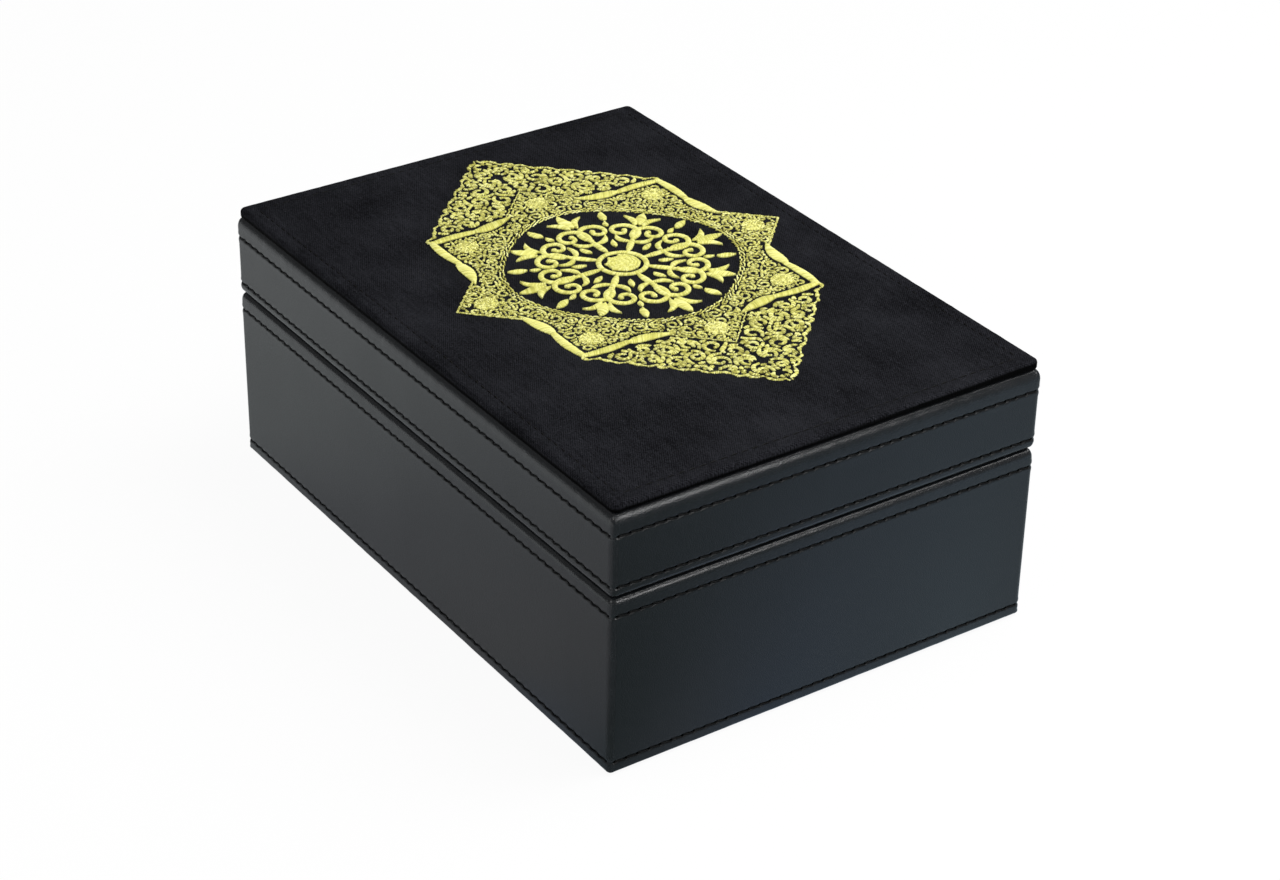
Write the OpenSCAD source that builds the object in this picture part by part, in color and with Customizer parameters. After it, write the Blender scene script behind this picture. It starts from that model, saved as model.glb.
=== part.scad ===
// Leather-wrapped keepsake box for a holy book: a board base and a hinged board lid, each wrapped in
// black leather with stitched rows, and a cloth-covered panel on the lid with a gold-thread medallion.
// Millimetres. X runs across the box towards the hinges, Y along it, Z up.
// The origin is the centre of the underside.

/* [Box] */
// Width, from the opening side to the hinge side
box_w = 190; // [150:1:240]
// Length along the hinge side
box_l = 270; // [220:1:340]
// Height of the base's leather side
base_h = 73.2; // [50:0.1:110]
// Height of the lid's leather side
lid_h = 33.3; // [26:0.1:50]
// Open line between the two rims when the lid is shut
rim_gap = 1; // [0.8:0.1:1.6]

/* [Boards] */
// Thickness of the wall boards
wall_t = 8; // [7:0.5:12]
// Thickness of the base's floor board
floor_t = 5; // [3:0.5:8]
// Thickness of the lid's top board
top_t = 5; // [3:0.5:8]
// Thickness of the sheet under the base
cover_t = 0.8; // [0.5:0.1:3]
// How far the sheet stands back from the leather sides
cover_inset = 5; // [2:0.1:10]
// Rounding of the sheet's corners
cover_corner_r = 3; // [1:0.5:6]

/* [Leather] */
// Thickness of the leather
leather_t = 0.8; // [0.5:0.1:1.2]
// Rounding of the rolled edges at the rims and the top
edge_r = 3; // [2.6:0.1:4]
// Rounding of the tighter edge along the bottom
foot_r = 1.4; // [1.3:0.1:4]
// Rounding of the upright corners
corner_r = 2; // [1.6:0.1:6]
// Width of the leather turned over the rim, inside
turn_in = 12; // [6:0.5:18]
// Width of the leather glued over the closed side
hem_w = 15; // [8:0.5:25]
// Width of the groove that a row of stitches draws
groove_w = 1.4; // [0.8:0.1:2]
// Depth of that groove
groove_d = 0.4; // [0.2:0.05:0.5]
// Height of the base's lower stitch row above the edge of the leather
base_row_low = 4.7; // [3.5:0.1:12]
// Distance of the base's upper stitch row below the rim
base_row_rim = 7; // [4:0.1:12]
// Distance of the lid's lower stitch row above its rim
lid_row_rim = 4; // [4:0.1:10]
// Distance of the lid's upper stitch row below the top of the leather
lid_row_top = 8.8; // [4:0.1:12]

/* [Lid panel] */
// Height of the cloth-covered panel above the lid's leather
panel_t = 3.7; // [2.5:0.1:6]
// How far the panel stands back from the leather sides
panel_inset = 0.8; // [0.6:0.1:4]
// Rounding of the panel's corners, seen from above
panel_corner_r = 4; // [2.5:0.1:8]
// Rounding of the panel's upper edge
panel_edge_r = 1.6; // [1:0.1:2.2]
// Thickness of the cloth
cloth_t = 0.6; // [0.4:0.1:0.9]
// Width of the cloth folded under the panel
cloth_hem = 14; // [6:0.5:20]

/* [Lining] */
// Thickness of the velvet-covered lining boards
lining_t = 2; // [1:0.1:3]
// How far the lining stops below the rims
lining_drop = 1.5; // [1:0.1:5]
// Thickness of the pad on the base's floor
pad_t = 2.5; // [1.5:0.1:5]
// Thickness of the lining under the lid's top
top_lining_t = 1.5; // [1:0.1:3]

/* [Hinges] */
// Distance of each hinge from the middle of the box
hinge_y = 85; // [50:1:95]
// Length of a hinge
hinge_l = 26; // [18:1:40]
// Radius of the hinge barrel
knuckle_r = 1.5; // [1.3:0.05:1.8]
// Radius of the hinge pin
pin_r = 0.7; // [0.5:0.05:0.9]
// Radial play of the pin in the barrel
pin_play = 0.04; // [0.02:0.01:0.08]
// Gap between neighbouring knuckles
knuckle_gap = 0.3; // [0.2:0.05:0.5]
// Room around the barrel in its mortise
barrel_room = 0.35; // [0.3:0.05:0.6]
// Thickness of a hinge leaf
leaf_t = 1.1; // [0.9:0.05:1.4]
// Gap between the two leaves when the lid is shut
leaf_gap = 0.2; // [0.1:0.05:0.4]
// Board left between a leaf and the inside of the wall
leaf_margin = 1; // [0.5:0.1:2]
// Distance between a leaf's two screws
screw_pitch = 15; // [10:0.5:24]
// Length of a screw
screw_l = 9; // [6:0.5:14]
// Radius of a screw's shank
screw_r = 0.8; // [0.6:0.05:1]
// Radius of a screw's countersunk head
screw_head_r = 1.6; // [1.3:0.05:1.9]
// Depth of the countersunk head
screw_head_h = 0.8; // [0.5:0.05:0.85]
// Width of the screw's slot
screw_slot_w = 0.4; // [0.3:0.05:0.6]
// Play of a screw in its hole
screw_play = 0.03; // [0.02:0.01:0.06]

/* [Magnets] */
// Distance of each closing magnet from the middle of the box
magnet_y = 80; // [30:1:100]
// Radius of a magnet
magnet_r = 2.5; // [1.5:0.1:3]
// Height of a magnet
magnet_h = 3; // [1.5:0.1:6]
// Play of a magnet in its pocket
magnet_play = 0.05; // [0.02:0.01:0.2]

/* [Medallion] */
// Place of the medallion's centre across the lid
medallion_x = 7.7; // [-12:0.1:12]
// Place of the medallion's centre along the lid
medallion_y = 11.2; // [-15:0.1:15]
// Radius of the dark disc in the middle
disc_r = 47.7; // [40:0.1:49]
// Half the side of the medallion's square; its two crests rise to twice that
square_half = 55.5; // [54:0.1:60]
// Reach of the points at the sides
side_point = 75; // [72:0.1:80]
// Height of the stitched lace above the cloth
lace_t = 0.4; // [0.3:0.05:0.8]
// Height of the satin stitch above what it is sewn on
satin_t = 0.6; // [0.4:0.05:1]
// Number of scallops on each crest edge
scallop_count = 8; // [5:1:12]
// How far a scallop swells past the edge
scallop_out = 1.3; // [0.5:0.1:2.5]
// Distance between neighbouring gaps in the lace
gap_pitch = 6.2; // [5.4:0.1:9]
// Length of a leaf-shaped gap
gap_l = 5; // [3:0.1:5.2]
// Width of a leaf-shaped gap
gap_w = 1.9; // [1:0.1:2.4]
// Width of the corner strap at its waist
strap_w = 3; // [2:0.1:4]
// Length of the strap's inner lobe, from the corner to the waist
strap_lobe_l = 21; // [16:0.5:24]
// Length of the strap's outer lobe, from the waist to the tip
strap_tip_l = 18; // [12:0.5:20]
// Radius of a rosette
rosette_r = 5.2; // [3.5:0.1:6]
// Distance of the rosettes from the medallion's centre
rosette_ring = 62; // [59:0.1:66]
// Width of a stitched ring round the disc
ring_w = 1.1; // [0.6:0.1:1.4]
// Distance between the two stitched rings
ring_step = 2.3; // [1.6:0.1:3]
// Width of the scrolls in the centre ornament at their root
scroll_w = 2.5; // [1.6:0.1:3]

/* [Hidden] */
$fn = 64;
// Overrun of a cutting tool past the face that it cuts
over = 1;
// Steps along one lobe of a strap, along one scroll and along one bowed leaf
lobe_steps = 12;
scroll_steps = 26;
leaf_steps = 8;

leather = [0.09, 0.1, 0.105];
board = [0.62, 0.5, 0.36];
cloth = [0.1, 0.1, 0.12];
velvet = [0.07, 0.07, 0.08];
gold = [0.83, 0.74, 0.3];
brass = [0.72, 0.58, 0.3];
steel = [0.7, 0.7, 0.72];

// Heights of the pieces, from the table up
base_z = cover_t;
rim_z = base_z + base_h;
lid_top_z = rim_z + rim_gap + lid_h;
panel_z = lid_top_z + panel_t;

// Half widths and half lengths of the nested skins, from the outside in
out_x = box_w / 2;
out_y = box_l / 2;
board_x = out_x - leather_t;
board_y = out_y - leather_t;
bay_x = board_x - wall_t;
bay_y = board_y - wall_t;
turn_x = bay_x - leather_t;
turn_y = bay_y - leather_t;
lined_x = turn_x - lining_t;
lined_y = turn_y - lining_t;

// Hinge: its axis is half the open line above each rim, with the barrel flush with the outer face
axis_x = out_x - knuckle_r;
axis_rise = rim_gap / 2;
leaf_in_x = bay_x + leaf_margin;
leaf_rise = axis_rise - leaf_gap / 2;
screw_x = (leaf_in_x + axis_x - knuckle_r) / 2;
knuckle_l = (hinge_l - 2 * knuckle_gap) / 3;
magnet_x = (board_x + bay_x) / 2;

// Height of satin stitch that is sewn straight on the cloth
sew_h = lace_t + satin_t;
// Inner edge of the corner straps, from the medallion's centre
strap_in = square_half - 0.6 * strap_w;

// Rounding tools

// What a quarter round of radius r takes off a corner at [r, r]
module corner_waste(r) {
  difference() {
    square(r + over);
    circle(r);
  }
}

// A rectangle on the X axis, centred, with its lower and upper corners rounded
module soft_rect(w, h, low_r, high_r) {
  difference() {
    translate([-w / 2, 0]) square([w, h]);
    if (low_r > 0) {
      translate([w / 2 - low_r, low_r]) rotate(-90) corner_waste(low_r);
      translate([low_r - w / 2, low_r]) rotate(180) corner_waste(low_r);
    }
    if (high_r > 0) {
      translate([w / 2 - high_r, h - high_r]) corner_waste(high_r);
      translate([high_r - w / 2, h - high_r]) rotate(90) corner_waste(high_r);
    }
  }
}

// A profile in X and Z drawn out along Y, and one in Y and Z drawn out along X
module along_y(l) { rotate([90, 0, 0]) linear_extrude(l, center = true) children(); }
module along_x(l) { rotate([90, 0, 90]) linear_extrude(l, center = true) children(); }

// A block on z = 0 with half sizes hx and hy, rounded at its upright corners and its two rims
module soft_block(hx, hy, h, upright_r, low_r, high_r) {
  difference() {
    intersection() {
      along_y(2 * (hy + over)) soft_rect(2 * hx, h, low_r, high_r);
      along_x(2 * (hx + over)) soft_rect(2 * hy, h, low_r, high_r);
    }
    for (sx = [0, 1], sy = [0, 1])
      mirror([sx, 0, 0]) mirror([0, sy, 0])
        translate([hx - upright_r, hy - upright_r, -over])
          linear_extrude(h + 2 * over) corner_waste(upright_r);
  }
}

// A plain block between two heights, with half sizes hx and hy
module slab(hx, hy, z0, z1) {
  translate([-hx, -hy, z0]) cube([2 * hx, 2 * hy, z1 - z0]);
}

// Trays: the base, and the lid upside down. The closed side, rounded by closed_r, is at z = 0 and the
// rim at z = h

module tray_boards(h, closed_r) {
  translate([0, 0, leather_t])
    soft_block(board_x, board_y, h - 2 * leather_t, corner_r - leather_t,
               closed_r - leather_t, edge_r - leather_t);
}

// The mouth in the rolled rim: straight sides that flare out over a round of the leather's thickness
module mouth_profile(half, h) {
  translate([-half, 0]) square([2 * half, h + over]);
  difference() {
    translate([-half - leather_t, h - leather_t]) square([2 * (half + leather_t), leather_t + over]);
    for (s = [-1, 1]) translate([s * (half + leather_t), h - leather_t]) circle(leather_t);
  }
}

module mouth(h) {
  intersection() {
    along_y(2 * out_y) mouth_profile(turn_x, h);
    along_x(2 * out_x) mouth_profile(turn_y, h);
  }
}

// The groove that a row of stitches draws round the tray
module stitch_groove(z) {
  translate([0, 0, z - groove_w / 2]) difference() {
    slab(out_x + over, out_y + over, 0, groove_w);
    translate([0, 0, -over])
      soft_block(out_x - groove_d, out_y - groove_d, groove_w + 2 * over, corner_r - groove_d, 0, 0);
  }
}

// Leather skin: over the closed side, round the walls, over the rim and down inside it
module tray_wrap(h, closed_r, rows) {
  difference() {
    soft_block(out_x, out_y, h, corner_r, closed_r, edge_r);
    tray_boards(h, closed_r);
    mouth(h);
    slab(out_x - hem_w, out_y - hem_w, -over, leather_t + over);
    for (z = rows) stitch_groove(z);
    tray_mortises(h);
    tray_pilots(h);
  }
  difference() {
    slab(bay_x, bay_y, h - leather_t - turn_in, h - leather_t);
    slab(turn_x, turn_y, 0, h);
  }
}

// Long wall on one side: side is 1 at the hinges and -1 at the opening edge
module tray_long_wall(h, closed_r, side) {
  difference() {
    intersection() {
      tray_boards(h, closed_r);
      translate([side * (board_x + bay_x) / 2, 0, 0]) slab(wall_t / 2, out_y, 0, h);
    }
    if (side > 0) {
      tray_mortises(h);
      tray_pilots(h);
    } else {
      tray_magnets(h, magnet_play);
    }
  }
}

// End wall between the long walls: end is 1 far and -1 near
module tray_end_wall(h, closed_r, end) {
  intersection() {
    tray_boards(h, closed_r);
    translate([0, end * (board_y + bay_y) / 2, 0]) slab(bay_x, wall_t / 2, 0, h);
  }
}

// Board that closes the tray, let in between the walls
module tray_plate(t) {
  slab(bay_x, bay_y, leather_t, leather_t + t);
}

module tray_long_lining(h, t, side) {
  translate([side * (turn_x + lined_x) / 2, 0, 0])
    slab(lining_t / 2, turn_y, leather_t + t, h - lining_drop);
}

module tray_end_lining(h, t, end) {
  translate([0, end * (turn_y + lined_y) / 2, 0])
    slab(lined_x, lining_t / 2, leather_t + t, h - lining_drop);
}

// Magnets in the front wall, under the leather of the rim
module tray_magnets(h, play) {
  for (s = [-1, 1])
    translate([-magnet_x, s * magnet_y, h - leather_t - magnet_h])
      cylinder(r = magnet_r + play, h = magnet_h + (play > 0 ? over : 0));
}

// Hinges, in the frame of either tray

module barrel(r, l) { rotate([90, 0, 0]) cylinder(r = r, h = l, center = true); }

// The seat of one hinge in the rim of a tray
module tray_mortises(h) {
  for (s = [-1, 1]) translate([0, s * hinge_y, h]) {
    translate([leaf_in_x, -hinge_l / 2, leaf_rise - leaf_t])
      cube([out_x - leaf_in_x + over, hinge_l, leaf_t + over]);
    translate([axis_x, 0, axis_rise]) barrel(knuckle_r + barrel_room, hinge_l);
  }
}

module at_screws(h) {
  for (s = [-1, 1], e = [-1, 1])
    translate([screw_x, s * hinge_y + e * screw_pitch / 2, h + leaf_rise]) children();
}

module tray_pilots(h) {
  at_screws(h) translate([0, 0, -screw_l]) cylinder(r = screw_r + screw_play, h = screw_l);
}

// One leaf about the hinge's middle, with its knuckles at the places ys along the barrel
module hinge_leaf(h, ys, other_ys) {
  translate([0, 0, h]) difference() {
    union() {
      translate([leaf_in_x, -hinge_l / 2, leaf_rise - leaf_t])
        cube([axis_x - leaf_in_x, hinge_l, leaf_t]);
      for (y = ys) translate([axis_x, y, axis_rise]) barrel(knuckle_r, knuckle_l);
    }
    for (y = other_ys)
      translate([axis_x, y, axis_rise]) barrel(knuckle_r + knuckle_gap, knuckle_l + 2 * knuckle_gap);
    translate([axis_x, 0, axis_rise]) barrel(pin_r + pin_play, hinge_l + over);
    for (e = [-1, 1]) translate([screw_x, e * screw_pitch / 2, leaf_rise]) {
      translate([0, 0, -leaf_t - over]) cylinder(r = screw_r + screw_play, h = leaf_t + 2 * over);
      translate([0, 0, -screw_head_h])
        cylinder(r1 = screw_r + screw_play, r2 = screw_head_r + screw_play, h = screw_head_h);
    }
  }
}

function outer_knuckles() = [-knuckle_l - knuckle_gap, knuckle_l + knuckle_gap];

module base_leaf() { hinge_leaf(base_h, outer_knuckles(), [0]); }
module lid_leaf() { hinge_leaf(lid_h, [0], outer_knuckles()); }

// Countersunk wood screw with a straight slot, its head flush with z = 0
module wood_screw() {
  difference() {
    union() {
      translate([0, 0, -screw_head_h]) cylinder(r1 = screw_r, r2 = screw_head_r, h = screw_head_h);
      translate([0, 0, -screw_l]) cylinder(r = screw_r, h = screw_l - screw_head_h / 2);
    }
    translate([-screw_head_r, -screw_slot_w / 2, -screw_head_h / 2])
      cube([2 * screw_head_r, screw_slot_w, screw_head_h]);
  }
}

module hinge_pin() {
  translate([axis_x, 0, rim_z + axis_rise]) barrel(pin_r, hinge_l);
}

// Places of the two trays

module in_base() { translate([0, 0, base_z]) children(); }
module in_lid() { translate([0, 0, lid_top_z]) mirror([0, 0, 1]) children(); }

// Base

module base_floor_board() { color(board) in_base() tray_plate(floor_t); }
module base_front_wall() { color(board) in_base() tray_long_wall(base_h, foot_r, -1); }
module base_hinge_wall() { color(board) in_base() tray_long_wall(base_h, foot_r, 1); }
module base_near_wall() { color(board) in_base() tray_end_wall(base_h, foot_r, -1); }
module base_far_wall() { color(board) in_base() tray_end_wall(base_h, foot_r, 1); }

module base_leather_wrap() {
  color(leather) in_base() tray_wrap(base_h, foot_r, [base_row_low, base_h - base_row_rim]);
}

module base_bottom_cover() {
  color(leather)
    soft_block(out_x - cover_inset, out_y - cover_inset, cover_t, cover_corner_r, 0, 0);
}

module base_floor_pad() {
  color(velvet) in_base() slab(lined_x, lined_y, leather_t + floor_t, leather_t + floor_t + pad_t);
}
module base_front_lining() { color(velvet) in_base() tray_long_lining(base_h, floor_t, -1); }
module base_hinge_lining() { color(velvet) in_base() tray_long_lining(base_h, floor_t, 1); }
module base_near_lining() { color(velvet) in_base() tray_end_lining(base_h, floor_t, -1); }
module base_far_lining() { color(velvet) in_base() tray_end_lining(base_h, floor_t, 1); }
module base_magnets() { color(steel) in_base() tray_magnets(base_h, 0); }

module near_hinge_base_leaf() { color(brass) in_base() translate([0, -hinge_y, 0]) base_leaf(); }
module far_hinge_base_leaf() { color(brass) in_base() translate([0, hinge_y, 0]) base_leaf(); }
module near_hinge_pin() { color(steel) translate([0, -hinge_y, 0]) hinge_pin(); }
module far_hinge_pin() { color(steel) translate([0, hinge_y, 0]) hinge_pin(); }
module hinge_base_screws() { color(steel) in_base() at_screws(base_h) wood_screw(); }

// Lid

module lid_top_board() { color(board) in_lid() tray_plate(top_t); }
module lid_front_wall() { color(board) in_lid() tray_long_wall(lid_h, edge_r, -1); }
module lid_hinge_wall() { color(board) in_lid() tray_long_wall(lid_h, edge_r, 1); }
module lid_near_wall() { color(board) in_lid() tray_end_wall(lid_h, edge_r, -1); }
module lid_far_wall() { color(board) in_lid() tray_end_wall(lid_h, edge_r, 1); }

module lid_leather_wrap() {
  color(leather) in_lid() tray_wrap(lid_h, edge_r, [lid_row_top, lid_h - lid_row_rim]);
}

// The card inside the lid's panel, as large as the cloth leaves room for
module panel_card() {
  translate([0, 0, lid_top_z + cloth_t])
    soft_block(out_x - panel_inset - cloth_t, out_y - panel_inset - cloth_t, panel_t - 2 * cloth_t,
               panel_corner_r - cloth_t, 0, panel_edge_r - cloth_t);
}

module lid_panel_board() { color(board) panel_card(); }

module lid_panel_cloth() {
  color(cloth) difference() {
    translate([0, 0, lid_top_z])
      soft_block(out_x - panel_inset, out_y - panel_inset, panel_t, panel_corner_r, 0, panel_edge_r);
    panel_card();
    slab(out_x - panel_inset - cloth_hem, out_y - panel_inset - cloth_hem,
         lid_top_z - over, lid_top_z + cloth_t + over);
  }
}

module lid_top_lining() {
  color(velvet) in_lid() slab(lined_x, lined_y, leather_t + top_t, leather_t + top_t + top_lining_t);
}
module lid_front_lining() { color(velvet) in_lid() tray_long_lining(lid_h, top_t, -1); }
module lid_hinge_lining() { color(velvet) in_lid() tray_long_lining(lid_h, top_t, 1); }
module lid_near_lining() { color(velvet) in_lid() tray_end_lining(lid_h, top_t, -1); }
module lid_far_lining() { color(velvet) in_lid() tray_end_lining(lid_h, top_t, 1); }
module lid_magnets() { color(steel) in_lid() tray_magnets(lid_h, 0); }

module near_hinge_lid_leaf() { color(brass) in_lid() translate([0, -hinge_y, 0]) lid_leaf(); }
module far_hinge_lid_leaf() { color(brass) in_lid() translate([0, hinge_y, 0]) lid_leaf(); }
module hinge_lid_screws() { color(steel) in_lid() at_screws(lid_h) wood_screw(); }

// Medallion: drawn round its own centre, then laid on the cloth

function polar(r, a) = [r * cos(a), r * sin(a)];

// Puts solids on the cloth round the medallion's centre, at a height above the cloth
module on_cloth(lift) { translate([medallion_x, medallion_y, panel_z + lift]) children(); }

// The four quarters of a shape
module quarters() { for (a = [0:90:270]) rotate(a) children(); }

// A pointed leaf from p to q
module leaf(p, q, w) {
  l = norm(q - p);
  r = (l * l + w * w) / (4 * w);
  translate((p + q) / 2) rotate(atan2(q.y - p.y, q.x - p.x)) intersection() {
    translate([0, r - w / 2]) circle(r);
    translate([0, w / 2 - r]) circle(r);
  }
}

// From a path to the left edge of a band along it, with the band's own width at each point
function band_sides(path, widths) =
  let (last = len(path) - 1)
    [for (i = [0:last])
      let (d = path[min(i + 1, last)] - path[max(i - 1, 0)])
        [-d.y, d.x] / norm(d) * widths[i] / 2];

module band(path, widths) {
  last = len(path) - 1;
  side = band_sides(path, widths);
  polygon(concat([for (i = [0:last]) path[i] + side[i]],
                 [for (i = [last:-1:0]) path[i] - side[i]]));
}

// Square with side points and two crests, the crest edges scalloped
module medallion_outline() {
  edge = norm([square_half, square_half]);
  lobe_r = edge / scallop_count * 0.6;
  intersection() {
    rotate(45) square(2 * edge, center = true);
    square([2 * square_half, 4 * square_half], center = true);
  }
  rotate(45) square(side_point * sqrt(2), center = true);
  for (sx = [0, 1], sy = [0, 1]) mirror([sx, 0]) mirror([0, sy])
    for (i = [0:scallop_count - 1])
      translate([square_half, square_half] * (1 - (i + 0.5) / scallop_count)
                + [0, 2 * square_half] * ((i + 0.5) / scallop_count)
                - [1, 1] / sqrt(2) * (lobe_r - scallop_out))
        circle(lobe_r);
}

// Where the lace has room for a gap: inside the outline, clear of the rosettes and straps
function in_outline(p, m) =
  (abs(p.x) < square_half - m && abs(p.x) + abs(p.y) < 2 * square_half - m * sqrt(2))
  || abs(p.x) + abs(p.y) < side_point - m * sqrt(2);
function near_rosette(p, m) =
  len([for (a = [0:45:315]) if (norm(p - polar(rosette_ring, a)) < rosette_r + m) a]) > 0;
function under_strap(u, v, m) =
  abs(u - square_half) < strap_w + m && v < square_half + m
  && v > square_half - strap_lobe_l - strap_tip_l - m;
function gap_fits(p) =
  let (m = gap_l * 0.5, u = abs(p.x), v = abs(p.y))
    in_outline(p, m + gap_w / 3) && !near_rosette(p, m) && !under_strap(u, v, m) && !under_strap(v, u, m);

// Leaf-shaped gaps on rings round the disc, leaning left and right in turn
module lace_gaps() {
  first = disc_r + 2 * ring_step + ring_w + gap_l / 2 + 1;
  for (r = [first:gap_pitch:2 * square_half]) {
    n = 4 * round(r * PI / 2 / gap_pitch);
    for (i = [0:n - 1]) {
      a = (i + 0.5) * 360 / n;
      lean = a + 90 + (i % 2 == 0 ? 40 : -40);
      p = polar(r, a);
      if (gap_fits(p)) leaf(p - polar(gap_l / 2, lean), p + polar(gap_l / 2, lean), gap_w);
    }
  }
}

module medallion_lace() {
  color(gold) on_cloth(0) linear_extrude(lace_t) difference() {
    medallion_outline();
    circle(disc_r);
    lace_gaps();
    quarters() corner_strap();
  }
}

// Corner strap: two arms that swell, draw in to a waist and end in a pointed lobe.
// t runs along an arm, from 0 at the corner over 1 at the waist to 2 at the tip
function strap_width(t) =
  t < 1 ? strap_w * (0.8 + 0.5 * sin(180 * t))
        : strap_w * (0.8 * (2 - t) + 1.3 * sin(180 * pow(t - 1, 0.75)));
function strap_point(t) =
  let (s = max(t - 1, 0))
    [strap_in + (t < 1 ? strap_width(t) / 2 : strap_w * (0.5 + 1.25 * s * s)),
     square_half - (t < 1 ? t * strap_lobe_l : strap_lobe_l + s * strap_tip_l)];
function mirrored(points) = [for (i = [len(points) - 1:-1:0]) [points[i].y, points[i].x]];

module corner_strap() {
  ts = concat([for (i = [0:2 * lobe_steps - 1]) i / lobe_steps], [1.98]);
  path = [for (t = ts) strap_point(t)];
  side = band_sides(path, [for (t = ts) strap_width(t)]);
  outer = [for (i = [0:len(path) - 1]) path[i] + side[i]];
  inner = [for (i = [0:len(path) - 1]) if (path[i].y < strap_in - strap_w / 4) path[i] - side[i]];
  corner = strap_in + strap_width(0);
  polygon(concat(mirrored(outer), [[corner, corner]], outer,
                 [for (i = [len(inner) - 1:-1:0]) inner[i]], [[strap_in, strap_in]],
                 [for (p = inner) [p.y, p.x]]));
}

module medallion_straps() {
  color(gold) on_cloth(0) linear_extrude(sew_h) quarters() corner_strap();
}

module medallion_rings() {
  color(gold) on_cloth(lace_t) for (i = [0, 1]) linear_extrude(satin_t) difference() {
    circle(disc_r + ring_step * (i + 0.1) + ring_w);
    circle(disc_r + ring_step * (i + 0.1));
  }
}

module rosette(r) {
  circle(r * 0.45);
  for (a = [0:45:315]) leaf(polar(r * 0.15, a), polar(r, a), r * 0.62);
}

module medallion_rosettes() {
  color(gold) on_cloth(lace_t) for (a = [0:45:315])
    translate(polar(rosette_ring, a)) linear_extrude(satin_t) rosette(rosette_r);
}

// Centre ornament, all in shares of the disc: eight hearts of paired scrolls round a flower
scroll_eye = [0.585, 0.128] * disc_r;
scroll_root = [0.455, 0.018] * disc_r;
scroll_turn = 440;
scroll_eye_r = 0.03 * disc_r;

// The eight eighths of a shape
module eighths() { for (a = [0:45:315]) rotate(a) children(); }

function scroll_point(t) =
  let (d = scroll_root - scroll_eye,
       r = scroll_eye_r + (norm(d) - scroll_eye_r) * pow(1 - t, 1.35))
    scroll_eye + polar(r, atan2(d.y, d.x) + t * scroll_turn);

module scroll() {
  ts = [for (i = [0:scroll_steps]) i / scroll_steps];
  linear_extrude(sew_h)
    band([for (t = ts) scroll_point(t)], [for (t = ts) scroll_w * (1 - 0.35 * t)]);
  translate(scroll_point(1)) cylinder(r = scroll_w / 2, h = sew_h);
}

// A leaf between two places in shares of the disc's radius, bent sideways by a share of its length
module bowed_leaf(from, to, w, bow) {
  ts = [for (i = [0:leaf_steps]) 0.04 + 0.92 * i / leaf_steps];
  along = to - from;
  linear_extrude(sew_h)
    band([for (t = ts) disc_r * (from + t * along + bow * sin(180 * t) * [-along.y, along.x])],
         [for (t = ts) disc_r * w * sin(180 * t)]);
}

// A straight leaf on the X axis
module centre_leaf(from, to, w) {
  linear_extrude(sew_h) leaf([from, 0] * disc_r, [to, 0] * disc_r, w * disc_r);
}

// One half of an eighth: a scroll with a leaf inside it and one outside it
module centre_spray() {
  scroll();
  bowed_leaf([0.715, 0.035], [0.885, 0.165], 0.062, -0.18);
  bowed_leaf([0.4, 0.012], [0.5, 0.16], 0.052, 0.2);
}

module medallion_centre() {
  color(gold) on_cloth(0) {
    linear_extrude(sew_h) rotate(22.5) rosette(0.15 * disc_r);
    difference() {
      cylinder(r = 0.2175 * disc_r, h = sew_h);
      translate([0, 0, -over]) cylinder(r = 0.1725 * disc_r, h = sew_h + 2 * over);
    }
    eighths() {
      centre_spray();
      mirror([0, 1, 0]) centre_spray();
      centre_leaf(0.205, 0.5, 0.06);
      centre_leaf(0.735, 0.985, 0.1);
      rotate(22.5) {
        centre_leaf(0.3, 0.42, 0.055);
        centre_leaf(0.685, 0.775, 0.05);
        centre_leaf(0.8, 0.97, 0.075);
      }
    }
  }
}

base_floor_board();
base_front_wall();
base_hinge_wall();
base_near_wall();
base_far_wall();
base_leather_wrap();
base_bottom_cover();
base_floor_pad();
base_front_lining();
base_hinge_lining();
base_near_lining();
base_far_lining();
base_magnets();
near_hinge_base_leaf();
far_hinge_base_leaf();
near_hinge_pin();
far_hinge_pin();
hinge_base_screws();
lid_top_board();
lid_front_wall();
lid_hinge_wall();
lid_near_wall();
lid_far_wall();
lid_leather_wrap();
lid_panel_board();
lid_panel_cloth();
lid_top_lining();
lid_front_lining();
lid_hinge_lining();
lid_near_lining();
lid_far_lining();
lid_magnets();
near_hinge_lid_leaf();
far_hinge_lid_leaf();
hinge_lid_screws();
medallion_lace();
medallion_straps();
medallion_rings();
medallion_rosettes();
medallion_centre();
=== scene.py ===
# %% [markdown]
# # A book box in black leather with a gold-thread medallion
#
# The real box is made of boards wrapped in black leather, with a lid that carries a panel of black cloth
# and, on it, a large medallion embroidered in gold thread. The boards, hinges and screws come from CAD as a
# fixed frame, in metres. Blender adds what a drawing of solids can't hold: rolled leather with its sewn
# rows, the woven cloth, every stitch of the embroidery, and the velvet inside.
#
# Lengths below are in millimetres, as a maker would measure the box, and `MM` turns them into metres.

import math

import bmesh
import bpy
import numpy as np
from mathutils import Matrix, Vector


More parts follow.
